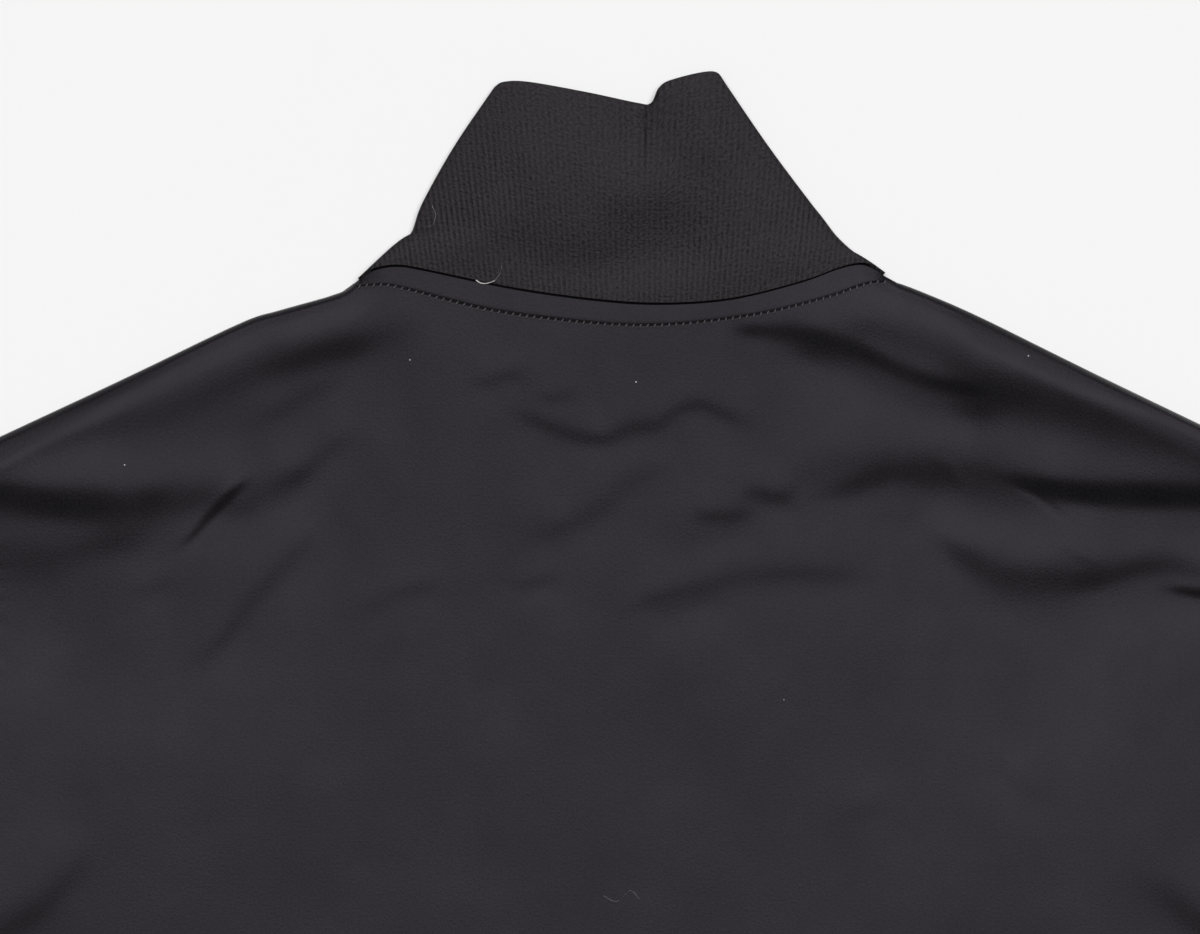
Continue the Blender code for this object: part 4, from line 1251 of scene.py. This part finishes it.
def make_teeth():
    """Moulded teeth in two rows that take turns, each with a head that meets across the middle."""
    grid = bmesh.new()
    bevel = {"offset": TOOTH_BEVEL * MM, "segments": 1, "profile": 0.5, "affect": "EDGES", "material": -1}
    for k in range(int((ZIP_END - ZIP_START) / TOOTH_PITCH)):
        side = 1 if k % 2 else -1
        y = ZIP_START + (k + 0.5) * TOOTH_PITCH
        middle = Vector((side * TOOTH_ASIDE, y + NECK_Y, float(lower_layer(y)) + TOOTH_RISE)) * MM
        shape = Matrix.Translation(middle) @ squeezed(TOOTH_SIZE)
        made = bmesh.ops.create_cube(grid, size=1, matrix=shape)
        bmesh.ops.bevel(grid, geom=list(edges_of(made["verts"])), **bevel)
    return new_piece("zip_teeth", grid, MOULDED)


tapes = [make_tape("zip_tape_cloth_left", -1), make_tape("zip_tape_cloth_right", 1)]
for tape, node in zip(tapes, ("zip_tape_left", "zip_tape_right")):
    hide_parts(node)
teeth = make_teeth()
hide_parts("zip_chain")
for name in ("zip_slider", "pull_tab"):
    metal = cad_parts[name]
    metal.data.materials.clear()
    metal.data.materials.append(ENAMEL)

# %% [markdown]
# ## Lint
#
# A dark jacket picks up lint. A white thread end is caught in the collar seam, one pale curl lies
# at the collar's left edge, and a few specks of dust lie on the back. A fibre is a thin tube that
# is extruded from place to place.

# %% Drop some lint
LINT_THREADS = (
    (0.26, ((-57.0, 9.4), (-55.2, 8.3), (-52.6, 8.2), (-49.8, 9.2))),
    (0.02, ((-49.8, 9.2), (-47.8, 12.0), (-47.2, 15.0))),
    (0.03, ((-73.6, 37.6), (-72.2, 34.0), (-73.6, 30.4), (-75.8, 29.8))),
    (0.025, ((-8.6, -224.4), (-3.4, -226.6), (1.6, -222.4), (5.0, -225.6))),
)
LINT_SPECKS = (
    (3.8, -29.3, 0.4), (-82.1, -20.9, 0.3), (-190.4, -60.8, 0.35), (152.8, -19.4, 0.35), (60.0, -150.0, 0.25),
)
SPECK_HEIGHT = 0.15


def lint_finish():
    material, shader, wire = new_finish("lint", Specular_IOR_Level=0.2)
    where = object_map(wire)
    color = noise_at(wire, where, 500.0).blend_colors((0.30, 0.29, 0.28), (0.62, 0.60, 0.58))
    feed(shader, "Base Color", color)
    return material


def lint_height(points):
    """The top of whatever lies highest at each point: back, band or collar."""
    x, y = points.T
    up = np.clip((y - neck_line(x)) / COLLAR_HEIGHT, 0, 1)
    on_collar = collar_height(np.full(len(x), 0.5), up, points)
    return np.where(y > neck_line(x), on_collar, cloth_top(points))


def make_lint():
    grid = bmesh.new()
    for thickness, places in LINT_THREADS:
        points = dense_curve(places, 5)
        spots = np.column_stack([points, lint_height(points) + thickness + 0.25])
        ring = bmesh.ops.create_circle(grid, segments=5, radius=thickness * MM, cap_ends=True)["verts"]
        direction = Vector(spots[1] - spots[0]).normalized()
        turn = direction.to_track_quat("Z", "Y").to_matrix().to_4x4()
        start = Matrix.Translation((Vector(spots[0]) + Vector((0, NECK_Y, 0))) * MM)
        bmesh.ops.transform(grid, matrix=start @ turn, verts=ring)
        for before, after in zip(spots, spots[1:]):
            rim = [e for e in edges_of(ring) if all(v in ring for v in e.verts)]
            grown = bmesh.ops.extrude_edge_only(grid, edges=rim)["geom"]
            ring = [part for part in grown if isinstance(part, bmesh.types.BMVert)]
            bmesh.ops.translate(grid, verts=ring, vec=Vector(after - before) * MM)
        bmesh.ops.contextual_create(grid, geom=[e for e in edges_of(ring) if e.is_boundary])
    for x, y, size in LINT_SPECKS:
        z = float(lint_height(np.array([(x, y)]))[0]) + 0.1
        place = Matrix.Translation(Vector((x, y + NECK_Y, z)) * MM)
        shape = place @ squeezed((size, size, SPECK_HEIGHT))
        bmesh.ops.create_icosphere(grid, subdivisions=1, radius=1, matrix=shape)
    bmesh.ops.recalc_face_normals(grid, faces=grid.faces)
    return new_piece("lint", grid, lint_finish())


make_lint()

# %% [markdown]
# ## What was cut
#
# Each cloth piece is listed with the size of its cut. The parts of the cut are measured flat: the two
# layers of a pressed tube count as one width.

CUTS = (
    # piece, width and length of the cut, its area, how it is held, what it lies on
    (back, (0.576, 0.638), 0.331, "laid", [*fronts, collar]),
    (fronts[0], (0.283, 0.638), 0.156, "laid", ["table"]),
    (fronts[1], (0.283, 0.638), 0.156, "laid", ["table"]),
    (sleeves[0], (0.465, 0.560), 0.140, "folded", ["table"]),
    (sleeves[1], (0.465, 0.560), 0.140, "folded", ["table"]),
    (collar, (0.475, 0.080), 0.030, "folded", ["table"]),
    (hem_band, (1.085, 0.062), 0.067, "folded", ["table"]),
    (cuffs[0], (0.190, 0.070), 0.0130, "folded", ["table"]),
    (cuffs[1], (0.190, 0.070), 0.0130, "folded", ["table"]),
    (band, (0.206, 0.010), 0.0017, "laid", [back]),
    (tapes[0], (0.0111, 0.681), None, "laid", [fronts[0]]),
    (tapes[1], (0.0111, 0.681), None, "laid", [fronts[1]]),
)
for piece, flat, area, held, under in CUTS:
    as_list(under)
total = sum(width * length if area is None else area for _, (width, length), area, _, _ in CUTS)
print(len(CUTS), "sheets, together", round(total, 3), "square metres")

# %% [markdown]
# ## The stage, the light and the camera
#
# The table is plain and pale. One very large soft lamp hangs over the collar and reaches just past
# the zenith, so level cloth shines softly back at the camera and each slope that faces the hem
# goes dark. The camera looks straight down through a long lens, as for a flat-lay picture.

# %% Table, light and camera, in metres and degrees
TABLE_HALF, TABLE_TOP = 9, -0.0004
AMBIENT, LAMP_POWER, LAMP_SPREAD, LAMP_RISE, LAMP_TURN = 0.08, 3.66, 66, 66, 8
CAMERA_OVER, CAMERA_HEIGHT, CLOTH_LEVEL = (-0.00988, 0.23904), 4.0, 0.005
SENSOR, FRAME_WIDTH = 36.0, 0.456


def make_stage():
    grid = bmesh.new()
    bmesh.ops.create_grid(grid, x_segments=1, y_segments=1, size=TABLE_HALF)
    bmesh.ops.translate(grid, verts=grid.verts, vec=(0, 0, TABLE_TOP))
    mesh = bpy.data.meshes.new("table")
    grid.to_mesh(mesh)
    grid.free()
    material, shader, wire = new_finish("table top", Specular_IOR_Level=0.0)
    where = object_map(wire)
    color = noise_at(wire, where, 3.0).blend_colors((0.796, 0.796, 0.796), (0.804, 0.804, 0.804))
    feed(shader, "Base Color", color)
    shader.inputs["Roughness"].default_value = 0.9
    mesh.materials.append(material)
    table = linked("table", mesh)


def make_light():
    world = bpy.data.worlds.new("studio")
    bpy.context.scene.world = world
    world.use_nodes = True
    background = world.node_tree.nodes["Background"].inputs
    background["Color"].default_value = (1.0, 1.0, 1.0, 1.0)
    background["Strength"].default_value = AMBIENT
    lamp = bpy.data.lights.new("key light", "SUN")
    lamp.energy, lamp.angle = LAMP_POWER, math.radians(LAMP_SPREAD)
    key = linked("key light", lamp)
    rise, turn = math.radians(LAMP_RISE), math.radians(LAMP_TURN)
    level = math.cos(rise)
    towards = Vector((math.sin(turn) * level, math.cos(turn) * level, math.sin(rise)))
    key.rotation_mode = "QUATERNION"
    key.rotation_quaternion = (-towards).to_track_quat("-Z", "Y")


def make_camera():
    lens = bpy.data.cameras.new("camera")
    camera = linked("camera", lens)
    camera.location = (*CAMERA_OVER, CAMERA_HEIGHT)
    lens.sensor_width = SENSOR
    lens.lens = SENSOR * (CAMERA_HEIGHT - CLOTH_LEVEL) / FRAME_WIDTH
    lens.clip_end = 50.0
    bpy.context.scene.camera = camera


make_stage()
make_light()
make_camera()
bpy.context.scene.view_settings.view_transform = "Standard"
